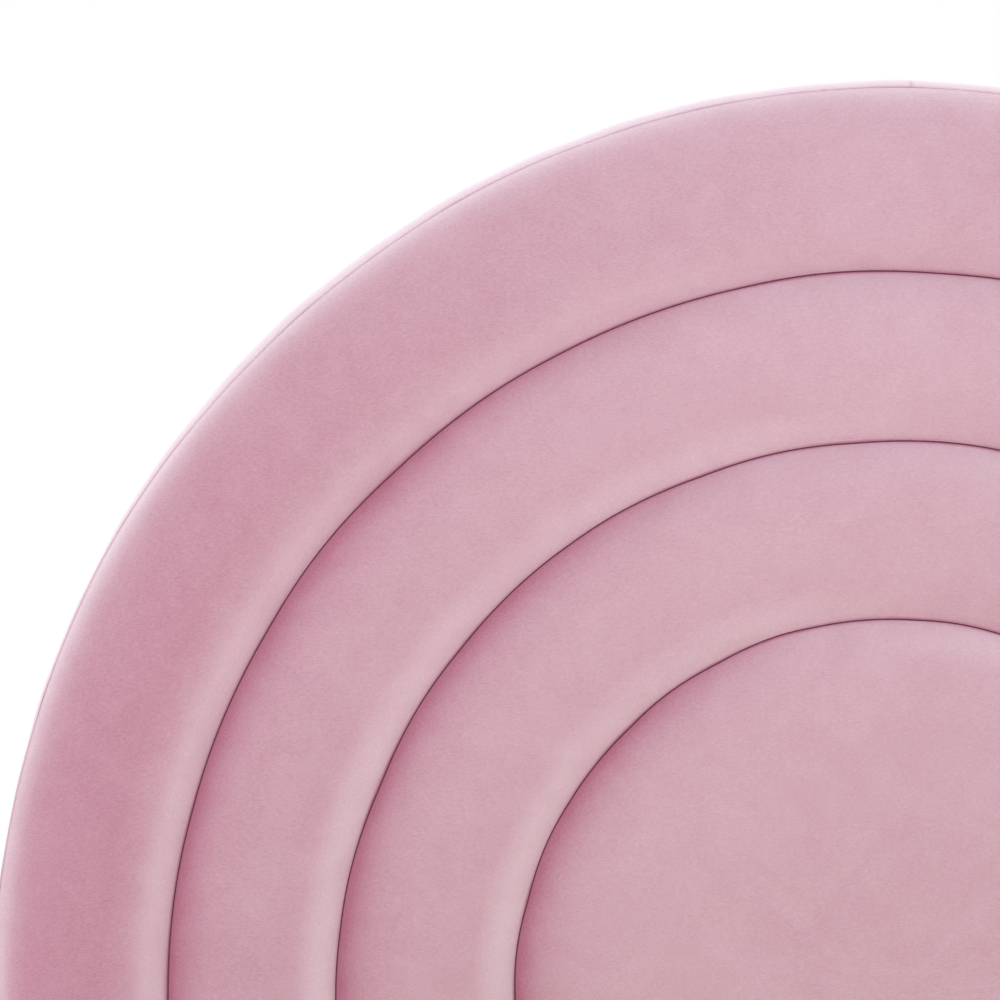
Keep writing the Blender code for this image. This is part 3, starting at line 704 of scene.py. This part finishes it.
seamLook = {
    "radius": 0.0009,         # of the thread, drawn thicker than real so that it shows as the seam's dark line
    "below": 0.0013,          # where the pads' velvets meet
    "sides": 6,
    "arcCount": 120,
    "firstLeg": 5,            # it starts this many leg heights up
}


def makeSeamThreads():
    # the thread that draws two pads together lies a little way down between them; its dark colour is the
    # painted shade of the seam
    look = seamLook
    sides = look["sides"]
    ring = [(math.cos(math.tau * i / sides), math.sin(math.tau * i / sides)) for i in range(sides)]
    stations = archStations(look["arcCount"], padLook["legHeights"][look["firstLeg"]:])
    depth = padLook["seamDepth"] - look["below"]
    for index, radius in enumerate(arch["seams"]):
        points = []
        for station in stations:
            centre = radius + seamWander(station, index + 1)
            points += [archPoint(station, centre + look["radius"] * c, depth + look["radius"] * s)
                       for c, s in ring]
        faces = gridFaces(len(stations), sides, wrap=True) + endCaps(sides, len(points))
        makePiece(f"seam_shade_thread_{index + 1}", points, faces, finish["thread"])
    print("seam threads made")


makePads()
makeEdgeBand()
makeSeamThreads()


# Velvet on the rails and below the pads.
def roundedRing(corners, radius, steps=5):
    # a closed ring of (u, v) points through corners that turn left or right, each rounded
    ring = []
    count = len(corners)
    for i, corner in enumerate(corners):
        here = Vector(corner)
        before = (Vector(corners[i - 1]) - here).normalized()
        after = (Vector(corners[(i + 1) % count]) - here).normalized()
        for j in range(steps + 1):
            t = j / steps
            bend = here + before * radius * (1 - t) ** 2 + after * radius * t ** 2
            ring.append(tuple(bend))
    return ring


def evenRing(ring, spacing):
    # more points along the straight stretches of a closed ring
    result = []
    for a, b in zip(ring, ring[1:] + ring[:1]):
        span = math.dist(a, b)
        count = max(1, round(span / spacing))
        result += [(a[0] + (b[0] - a[0]) * i / count, a[1] + (b[1] - a[1]) * i / count) for i in range(count)]
    return result


railLook = {
    "corner": 0.0085,         # radius of the padded edges
    "cornerSteps": 5,
    "spacing": 0.011,
    "stationGap": 0.02,
    "endShrink": (0.98, 0.6),     # the closed ends' inner rings, as shares of half the rail's width
    "swell": 0.0007,          # the thin foam under the velvet isn't quite even
    "pucker": 0.0012,         # the cut edge is drawn in at each staple
    "puckerReach": 0.014,
    "staplePitch": 0.055,
    "thick": 0.0054,
    "windowZ": (0.110, 0.285),
    "windowReach": 0.006,     # points this near the open side belong to it
}


def railSkin(name, low, high, axis, openSide, closedEnds, windowReach):
    # A tube of velvet round a board that runs along axis (0 or 1). One long side has a bare window.
    look = railLook
    across = 1 - axis
    middle = ((low[across] + high[across]) / 2, (low[2] + high[2]) / 2)
    corners = [(low[across], low[2]), (high[across], low[2]), (high[across], high[2]), (low[across], high[2])]
    ring = evenRing(roundedRing(corners, look["corner"]), look["spacing"])
    start, end = low[axis], high[axis]
    count = round((end - start) / look["stationGap"])
    places = [(start + (end - start) * i / count, 0.0) for i in range(count + 1)]     # (along, shrink)
    if closedEnds:
        r = look["corner"]
        turns = [math.pi / 2 * i / look["cornerSteps"] for i in range(look["cornerSteps"] + 1)]
        inside = [p for p in places if start + r < p[0] < end - r]
        ends = [(0.0, (high[across] - low[across]) / 2 * share) for share in look["endShrink"]]
        ends += [(r * (1 - math.sin(t)), r * (1 - math.cos(t))) for t in reversed(turns)]
        places = [(start + a, b) for a, b in ends] + inside + [(end - a, b) for a, b in reversed(ends)]
        places = [(round(a, 6), round(b, 6)) for a, b in places]
    points = []
    for along, shrink in places:
        for u, v in ring:
            su = middle[0] + (u - middle[0]) * (1 - shrink / abs(high[across] - middle[0]))
            sv = middle[1] + (v - middle[1]) * (1 - shrink / abs(high[2] - middle[1]))
            place = [0.0, 0.0, sv]
            place[axis], place[across] = along, su
            points.append(place)
    points = np.array(points)
    swell = ripple(points, (0.09, 0.21), 5) * look["swell"]
    centre = np.zeros(3)
    centre[across], centre[2] = middle
    outward = points - centre
    outward[:, axis] = 0
    outward[:, 2] *= 0.25         # mostly sideways, because a rail is tall and thin
    outward /= np.maximum(np.linalg.norm(outward, axis=1, keepdims=True), 1e-6)
    points = points - outward * (np.abs(swell) * 0.8)[:, None]
    openAt = (low if openSide < 0 else high)[across]
    windowLow, windowHigh = look["windowZ"]
    faces = []
    for face in gridFaces(len(places), len(ring), wrap=True):
        spot = points[list(face)].mean(axis=0)
        atWindow = abs(spot[across] - openAt) < look["windowReach"] and windowLow < spot[2] < windowHigh
        if not (atWindow and windowReach[0] < spot[axis] < windowReach[1]):
            faces.append(face)
    if closedEnds:
        rim = len(ring)
        faces += [tuple(range(rim))[::-1], tuple(range(len(points) - rim, len(points)))]
    # the cut edges are drawn in between staples
    for i, (x, y, z) in enumerate(points):
        atWindow = abs((x, y)[across] - openAt) < look["windowReach"]
        if atWindow and min(abs(z - windowLow), abs(z - windowHigh)) < look["puckerReach"]:
            points[i][2] += look["pucker"] * math.sin((x, y)[axis] * math.tau / look["staplePitch"])
    piece = makePiece(name + "_velvet", points, faces, finish["velvet"])
    setPaintedLight(piece, paintedLightLook["flat"])
    clothe(piece, look["thick"], name + "_cover")


def makeRailCovers():
    for word, inward in (("left", 1), ("right", -1)):
        low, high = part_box(word + "_rail_cover")
        railSkin(word + "_rail", low, high, 1, inward, False, (low.y - 1, high.y + 1))
    low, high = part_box("foot_rail_cover")
    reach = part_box("right_rail_board")[0].x
    railSkin("foot_rail", low, high, 0, 1, True, (-reach, reach))
    print("rail covers made")


lowerLook = {
    "corner": 0.004,
    "behind": ((0.045, 0), (0.025, 0), (0.006, 0), (0.0015, 0.001), (0, 0.005)),   # (in, forward)
    "sideCount": 4,
    "frontCount": 40,
    "rowCount": 16,
    "lift": 0.0021,           # off the plywood's back
    "swell": 0.0003,
    "skin": 0.0016,
}


def makeLowerCover():
    look = lowerLook
    low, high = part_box("headboard_lower_cover")
    r = look["corner"]
    turns = [math.pi / 2 * i / 5 for i in range(6)]
    backY = arch["backY"] - look["lift"]
    corner = [(high.x - r + r * math.cos(t), low.y + r - r * math.sin(t)) for t in turns]
    behind = [(high.x - inward, backY - forward) for inward, forward in look["behind"]]
    startY = behind[-1][1]
    count = look["sideCount"]
    side = [(high.x, startY - (startY - low.y - r) * i / count) for i in range(1, count)]
    half = behind + side + corner
    count = look["frontCount"]
    front = [(high.x - r - (high.x - r) * i / count, low.y) for i in range(1, count)]
    outline = half + front + [(0.0, low.y)] + [(-x, y) for x, y in reversed(half + front)]
    rows = [low.z + (high.z - low.z) * i / look["rowCount"] for i in range(look["rowCount"] + 1)]
    points = np.array([(x, y, z) for z in rows for x, y in outline])
    points[:, 1] += ripple(points, (0.07, 0.18), 11) * look["swell"]
    faces = gridFaces(len(rows), len(outline))
    cover = makePiece("lower_cover_velvet", points, faces, finish["velvet"])
    setPaintedLight(cover, paintedLightLook["flat"])
    clothe(cover, look["skin"], "headboard_lower_cover", rounds=0)
    print("lower cover made")


makeRailCovers()
makeLowerCover()


# The headboard's back.
dustLook = {
    "inset": 0.020,           # from the rim
    "footZ": 0.090,
    "lift": 0.0009,           # off the frame
    "skin": 0.0004,
    "arcCount": 96,
    "legCount": 14,
    "shares": (0.0, 0.12, 0.25, 0.38, 0.5, 0.6, 0.7, 0.78, 0.85, 0.91, 0.955),   # of the radius
    "hemShares": (0.9865, 0.995, 1.0),
    "hem": 0.012,             # turned under, so it is twice as thick
    "hemThick": 0.0005,
    "slack": 0.0006,
    "pull": 0.0002,           # drawn in at each staple
    "stapleInset": 0.006,
    "staplePitch": 0.045,
}
stapleLook = {"half": 0.005, "wire": 0.0005, "rise": 0.0007, "leg": 0.0015}


def staples(name, places):
    # places are (middle, along, out): a wire crown lying along a direction, with its two bent ends
    points, faces = [], []
    half, wire, rise, leg = (stapleLook[key] for key in ("half", "wire", "rise", "leg"))
    path = [(-half, -leg), (-half, rise * 0.6), (-half + rise, rise), (half - rise, rise), (half, rise * 0.6),
            (half, -leg)]
    for middle, along, out in places:
        middle, along, out = Vector(middle), Vector(along).normalized(), Vector(out).normalized()
        side = along.cross(out).normalized()
        first = len(points)
        for run, height in path:
            flat = 0.45 if abs(run) < half * 0.95 else 0.3      # the wire is pressed flat
            for u, v in ((-1, -1), (1, -1), (1, 1), (-1, 1)):
                points.append(middle + along * run + out * (height + wire * v * flat) + side * wire * u)
        for i in range(len(path) - 1):
            for j in range(4):
                a, b = first + i * 4 + j, first + i * 4 + (j + 1) % 4
                faces.append((a, b, b + 4, a + 4))
        last = first + (len(path) - 1) * 4
        faces += [tuple(range(first, first + 4)), tuple(range(last, last + 4))]
    piece = makePiece(name, points, faces, finish["staple"])
    addModifier(piece, "BEVEL", width=0.0002, segments=1)


def makeDustCover():
    look = dustLook
    radius = arch["radius"] - look["inset"]
    springZ = arch["springZ"]
    hem = look["hem"] / radius
    count = look["arcCount"]
    turns = [math.pi * i / count for i in range(count + 1)]
    legs = [(1, 0, z - springZ) for z in np.linspace(look["footZ"], springZ - 0.03, look["legCount"])]
    stations = legs + [(math.cos(a), math.sin(a), 0) for a in turns]      # (across, up, drop)
    stations += [(-across, 0, drop) for across, _, drop in reversed(legs)]
    shares = [*look["shares"], 1 - hem, *look["hemShares"]]
    y = arch["backY"] - look["lift"]
    points = np.array([(radius * share * across, y, springZ + radius * share * up + drop)
                       for across, up, drop in stations for share in shares])
    rim = np.tile(np.array(shares), len(stations))
    wave = ripple(points, (0.16, 0.4), 23) * look["slack"] * (1 - rim ** 6)
    run = np.arctan2(points[:, 2] - springZ, points[:, 0]) * radius / look["staplePitch"]
    pull = look["pull"] * np.cos(run * math.tau) * np.clip((rim - 0.9) * 10, 0, 1)
    points[:, 1] += wave + look["hemThick"] * (rim > 1 - 1.2 * hem) + pull
    faces = gridFaces(len(stations), len(shares))
    cover = makePiece("dust_cover_cambric", points, faces, finish["cambric"])
    clothe(cover, look["skin"], "headboard_dust_cover", rounds=0, offset=0)
    places = []
    held = radius - look["stapleInset"]
    pitch = look["staplePitch"]
    count = round(math.pi * held / pitch)
    y = arch["backY"] + 0.0001
    for i in range(count + 1):
        across, up = math.cos(math.pi * i / count), math.sin(math.pi * i / count)
        places.append(((held * across, y, springZ + held * up), (-up, 0, across), (0, 1, 0)))
    for i in range(1, 10):            # up both sides
        places += [((side * held, y, springZ - pitch * i), (0, 0, 1), (0, 1, 0)) for side in (-1, 1)]
    for i in range(-17, 18):          # along the foot
        places.append(((i * pitch, y, look["footZ"] + look["stapleInset"]), (1, 0, 0), (0, 1, 0)))
    staples("dust_cover_staples", places)
    print("dust cover made:", len(places), "staples")


makeDustCover()


# The slatted base.
webLook = {
    "sag": 0.0016,            # midway between two slats
    "slatHalf": 0.035,        # flat this far from a slat's middle
    "sagRun": 0.1,
    "ends": (0.0015, 0.004),  # rows close together at both ends
    "rowCount": 260,
    "section": (              # the tape's outline, as shares of its half width and of its thickness
        (-1, 0.5), (-0.96, 0.95), (-0.5, 1.0), (0, 1.0), (0.5, 1.0), (0.96, 0.95),
        (1, 0.5), (0.96, 0.05), (0.5, 0.0), (0, 0.0), (-0.5, 0.0), (-0.96, 0.05),
    ),
    "stapleX": 0.006,
}


def makeWebbing():
    look = webLook
    section = look["section"]
    slatY = sorted((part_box(n)[0].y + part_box(n)[1].y) / 2 for n in nodes if n.startswith("slat_"))
    places = []
    for word in ("left", "right"):
        name = word + "_slat_webbing"
        low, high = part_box(name)
        second, third = look["ends"]
        stops = [low.y, low.y + second, *np.linspace(low.y + third, high.y - third, look["rowCount"]),
                 high.y - second, high.y]
        middleX, half, thick = (low.x + high.x) / 2, (high.x - low.x) / 2, high.z - low.z
        points = []
        for y in stops:
            away = max(min(abs(y - s) for s in slatY) - look["slatHalf"], 0)
            sag = look["sag"] * math.sin(math.pi * min(away / look["sagRun"], 0.5))
            points += [(middleX + u * half, y, low.z + v * thick - sag) for u, v in section]
        faces = gridFaces(len(stops), len(section), wrap=True) + endCaps(len(section), len(points))
        strap = makePiece(word + "_slat_strap", points, faces, finish["webbing"])
        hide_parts(name)
        places += [((middleX + x, y, low.z - 0.0001), (0, 1, 0), (0, 0, -1))
                   for y in slatY for x in (-look["stapleX"], look["stapleX"])]
    staples("webbing_staples", places)
    print("webbing made")


headLook = {
    # shares of the head's radius and height, from its edge up
    "rings": ((1.0, 0.0), (1.0, 0.35), (0.9, 0.75), (0.7, 0.93), (0.5, 1.0), (0.26, 1.02)),
    "recess": (0.1, 0.42, 0.45, 0.3),     # the cross: its core, its arms, and how high its floor and tip are
    "steps": 20,
}


def panHead(radius, height):
    # (points, faces) of a domed screw head with a cross recess, standing on z = 0
    steps = headLook["steps"]
    around = [(math.cos(math.tau * i / steps), math.sin(math.tau * i / steps)) for i in range(steps)]
    points = [(radius * r * c, radius * r * s, height * h) for r, h in headLook["rings"] for c, s in around]
    core, arms, floorShare, tipShare = headLook["recess"]
    for i, (c, s) in enumerate(around):
        reach = radius * (core + arms * abs(math.cos(2 * math.tau * i / steps)) ** 3)
        points.append((reach * c, reach * s, height * floorShare))
    points.append((0, 0, height * tipShare))
    faces = gridFaces(len(headLook["rings"]) + 1, steps, wrap=True)
    last = len(headLook["rings"]) * steps
    faces += [(last + i, last + (i + 1) % steps, len(points) - 1) for i in range(steps)]
    faces.append(tuple(range(steps))[::-1])
    return points, faces


def screws(name, places, radius=0.0042, height=0.0026):
    # places are (point on the surface, direction that the head faces)
    onePoints, oneFaces = panHead(radius, height)
    points, faces = [], []
    for k, (spot, out) in enumerate(places):
        turn = Vector(out).to_track_quat("Z", "Y").to_matrix() @ Matrix.Rotation(k * 1.1, 3, "Z")
        first = len(points)
        points += [Vector(spot) + turn @ Vector(p) for p in onePoints]
        faces += [tuple(first + i for i in face) for face in oneFaces]
    makePiece(name, points, faces, finish["zinc"])


screwLook = {
    "slatInset": 0.014,
    "slatSink": 0.0004,                   # the heads are pressed this far into the wood
    "ledgeInset": 0.08,
    "ledgeCount": 9,
    "bracketShares": (0.2, 0.5, 0.8),     # heights on a rail bracket
    "bracketInset": 0.017,
    "plate": 0.003,                       # the brackets' thickness
    "hangerInset": 0.012,
    "hangerLow": 0.014,
}


def makeScrews():
    look = screwLook
    places = []
    for name in sorted(n for n in nodes if n.startswith("slat_") and n[-1].isdigit()):
        low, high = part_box(name)
        places += [((x, (low.y + high.y) / 2, high.z - look["slatSink"]), (0, 0, 1))
                   for x in (low.x + look["slatInset"], high.x - look["slatInset"])]
    screws("slat_screws", places, 0.0040, 0.0018)
    places = []
    for word, side in (("left", -1), ("right", 1)):
        low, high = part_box(word + "_slat_ledge")
        inner = high.x if side < 0 else low.x
        gap = (high.y - low.y - 2 * look["ledgeInset"]) / (look["ledgeCount"] - 1)
        places += [((inner, low.y + look["ledgeInset"] + gap * i, (low.z + high.z) / 2), (-side, 0, 0))
                   for i in range(look["ledgeCount"])]
        for end in ("head", "foot"):
            low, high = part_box(f"{end}_{word}_bracket")
            inner = (low.x + look["plate"]) if side < 0 else (high.x - look["plate"])
            y = low.y + look["bracketInset"] if end == "head" else high.y - look["bracketInset"]
            places += [((inner, y, low.z + share * (high.z - low.z)), (-side, 0, 0))
                       for share in look["bracketShares"]]
    for end, out in (("head", -1), ("foot", 1)):
        low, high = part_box(f"beam_{end}_hanger")
        wall = high.y - look["plate"] if end == "head" else low.y + look["plate"]
        inset = look["hangerInset"]
        places += [((x, wall, z), (0, out, 0)) for x in (low.x + inset, high.x - inset)
                   for z in (low.z + look["hangerLow"], high.z - inset)]
    screws("frame_screws", places)
    print("screws made")


makeWebbing()
makeScrews()


# The levelling feet.
footLook = {
    "profile": (              # (in from the foot's edge, height): its underside, edge and top
        (0.006, 0.0012), (0.0045, 0.0), (0.0015, 0.0), (0.0003, 0.0008), (0, 0.0022), (0, 0.0062),
        (0.0006, 0.0074), (0.0025, 0.0084),
    ),
    # (radius, height): the raised middle
    "hub": ((0.0105, 0.0090), (0.0090, 0.0094), (0.0080, 0.0100), (0.0044, 0.0100), (0.0, 0.0100)),
    "steps": 72,
    "grip": 0.0005,           # depth of the grooves round the edge
    "gripEvery": 3,
}
threadLook = {
    "radius": 0.0039, "pitch": 0.00125, "depth": 0.0006, "steps": 20, "perPitch": 5,
    "startZ": 0.0095, "taperRows": 8,
}


def turned(middle, z, radii):
    # a ring of points round an upright axis, at evenly spaced turns
    turns = [math.tau * i / len(radii) for i in range(len(radii))]
    return [(middle[0] + r * math.cos(a), middle[1] + r * math.sin(a), z) for a, r in zip(turns, radii)]


def makeLevellingFeet():
    # a moulded foot with grip ribs, on a steel stem with an M8 thread
    for word in ("head", "foot"):
        look = footLook
        node = f"centre_{word}_levelling_foot"
        low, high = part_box(node)
        middle = ((low.x + high.x) / 2, (low.y + high.y) / 2)
        wide = (high.x - low.x) / 2
        profile = [(0.0, look["profile"][0][1]), *((wide - r, z) for r, z in look["profile"]), *look["hub"]]
        points = []
        for r, z in profile:
            grip = look["grip"] if 0.002 < z < 0.0075 and r > wide - 0.001 else 0.0
            points += turned(middle, low.z + z, [r - grip * (i % look["gripEvery"] == 0)
                                                 for i in range(look["steps"])])
        body = f"{word}_levelling_foot"
        faces = gridFaces(len(profile), look["steps"], wrap=True)
        foot = makePiece(f"centre_{word}_foot_pad", points, faces, finish["nylon"], body)
        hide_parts(node)
        look = threadLook
        steps = look["steps"]
        rows = round((high.z - low.z - look["startZ"]) / look["pitch"] * look["perPitch"])
        points = []
        for k in range(rows + 1):
            taper = min(1.0, (rows - k) / look["taperRows"])
            phases = [(k / look["perPitch"] - i / steps) % 1 for i in range(steps)]
            z = low.z + look["startZ"] + k * look["pitch"] / look["perPitch"]
            points += turned(middle, z, [look["radius"] - look["depth"] * (1 - abs(2 * phase - 1))
                                         - look["depth"] * (1 - taper) for phase in phases])
        faces = gridFaces(rows + 1, steps, wrap=True) + endCaps(steps, len(points))
        makePiece(f"centre_{word}_foot_stem", points, faces, finish["zinc"], body)
    print("levelling feet made")


makeLevellingFeet()


# Finishes on the parts that keep their own shape.
keptLook = (
    # (finish, rounding of the edges, how the parts' names start or end)
    ("pineZ", 0.0015, ("headboard_left_post", "headboard_right_post", "headboard_centre_stud")),
    ("pineX", 0.0015, ("headboard_upper_crossrail", "headboard_lower_crossrail")),
    ("plywood", 0.0008, ("headboard_arch_rib",)),
    ("plywood", 0.0006, ("headboard_face_panel",)),
    ("nylon", 0.0005, ("headboard_left_glide", "headboard_right_glide")),
    ("pineY", 0.001, ("left_rail_board", "right_rail_board")),
    ("pineX", 0.001, ("foot_rail_board", "slat_")),
    ("pineY", 0.0008, ("left_slat_ledge", "right_slat_ledge", "centre_beam")),
    ("pineZ", 0.0008, ("centre_head_leg", "centre_foot_leg")),
    ("beech", 0.0014, ("left_foot_leg", "right_foot_leg")),
    ("zinc", 0.0004, ("_bolt_pair",)),
)
for name, node in nodes.items():
    if node.hide_render:
        continue
    choice, rounding = "steel", 0.0005
    for kept, width, words in keptLook:
        if name.startswith(words) or name.endswith(words):
            choice, rounding = kept, width
    node.data.materials.clear()
    node.data.materials.append(finish[choice])
    addModifier(node, "BEVEL", width=rounding, segments=2, limit_method="ANGLE", angle_limit=math.radians(35),
                harden_normals=True)
print("finishes set on the kept parts")


# Camera, light and floor.
viewLook = {
    "lensMm": 200,
    "sensorMm": 36,
    "width": 0.905,               # metres across the picture, at the headboard's rim
    "left": -0.0026,              # from the picture's left edge in to the rim
    "below": 0.0217,              # from the picture's lower edge up to where the arch starts
    "depth": 0.055,               # of the plane that width is measured in
}


def makeCamera():
    camera = bpy.data.objects.new("camera", bpy.data.cameras.new("camera"))
    camera.data.lens = viewLook["lensMm"]
    camera.data.sensor_width = viewLook["sensorMm"]
    camera.data.clip_end = 100
    half = viewLook["width"] / 2
    distance = viewLook["width"] * viewLook["lensMm"] / viewLook["sensorMm"]     # from the measured plane
    x = -arch["radius"] + half - viewLook["left"]
    z = arch["springZ"] + half - viewLook["below"]
    camera.location = (x, arch["backY"] - viewLook["depth"] - distance, z)
    camera.rotation_euler = (math.pi / 2, 0, 0)
    scene.collection.objects.link(camera)
    scene.camera = camera


lightLook = {
    "left": 0.42,             # the room's brightness on each side of the headboard's front
    "right": 0.54,
    "behind": 1.6,            # and behind it
    "up": (0.65, 1.32),       # how much it falls off towards the floor, and gains towards the ceiling
    "upReach": 0.7,           # both are reached this far down and up, where 1 is straight
    "turn": (-0.15, 0.35),    # from the front's brightness to the back's
    "key": {"place": (-1.71, -14.1, 1.88), "aim": (-0.4, 1.0, 0.75), "size": 8.5, "watts": 1050},
}


def makeLight(name, place, aim, size, watts):
    lamp = bpy.data.lights.new(name, "AREA")
    lamp.shape = "DISK"
    lamp.size = size
    lamp.energy = watts
    holder = bpy.data.objects.new(name, lamp)
    holder.location = place
    holder.rotation_euler = (Vector(aim) - Vector(place)).to_track_quat("-Z", "Y").to_euler()
    scene.collection.objects.link(holder)


def makeStudio():
    look = lightLook
    world = bpy.data.worlds.new("studio")
    world.use_nodes = True
    tree = world.node_tree
    tree.nodes.clear()
    way = addNode(tree, "SeparateXYZ", links={0: addNode(tree, "TexCoord").outputs["Generated"]}).outputs
    gains = []
    for axis, reach, span in ((0, 1, (look["left"], look["right"])), (2, look["upReach"], look["up"])):
        gains.append(addNode(tree, "MapRange", {"From Min": -reach, "From Max": reach, "To Min": span[0],
                                                "To Max": span[1]}, {0: way[axis]}).outputs[0])
    front = addNode(tree, "Math", {"operation": "MULTIPLY"}, {0: gains[0], 1: gains[1]})
    start, end = look["turn"]
    behind = addNode(tree, "MapRange", {"From Min": start, "From Max": end}, {0: way[1]})
    room = addNode(tree, "Mix", {"data_type": "FLOAT", 3: look["behind"]},
                   {0: behind.outputs[0], 2: front.outputs[0]})
    seen = addNode(tree, "LightPath").outputs["Is Camera Ray"]
    strength = addNode(tree, "Mix", {"data_type": "FLOAT", 3: 1.0}, {0: seen, 2: room.outputs[0]})
    back = addNode(tree, "Background", {"Color": (1, 1, 1, 1)}, {"Strength": strength.outputs[0]})
    addNode(tree, "OutputWorld", links={"Surface": back.outputs[0]})
    scene.world = world
    makeLight("key", **look["key"])
    scene.view_settings.view_transform = "Standard"
    floorMesh = bpy.data.meshes.new("floor")
    floorMesh.from_pydata([(-7, -8, 0), (7, -8, 0), (7, 6, 0), (-7, 6, 0)], [], [(0, 1, 2, 3)])    # metres
    material, tree, shader, place = startMaterial("floorPaint", {"Roughness": 0.7})
    cloud = addNode(tree, "TexNoise", {"Scale": 3, "Detail": 4}, {0: place})
    dressShader(tree, shader, cloud.outputs[0], ("#eeecea", "#f6f5f3"))
    floorMesh.materials.append(material)
    floor = bpy.data.objects.new("floor", floorMesh)
    floor.location.z = -0.0005        # just below the feet, so that the faces don't fight
    scene.collection.objects.link(floor)


makeCamera()
makeStudio()
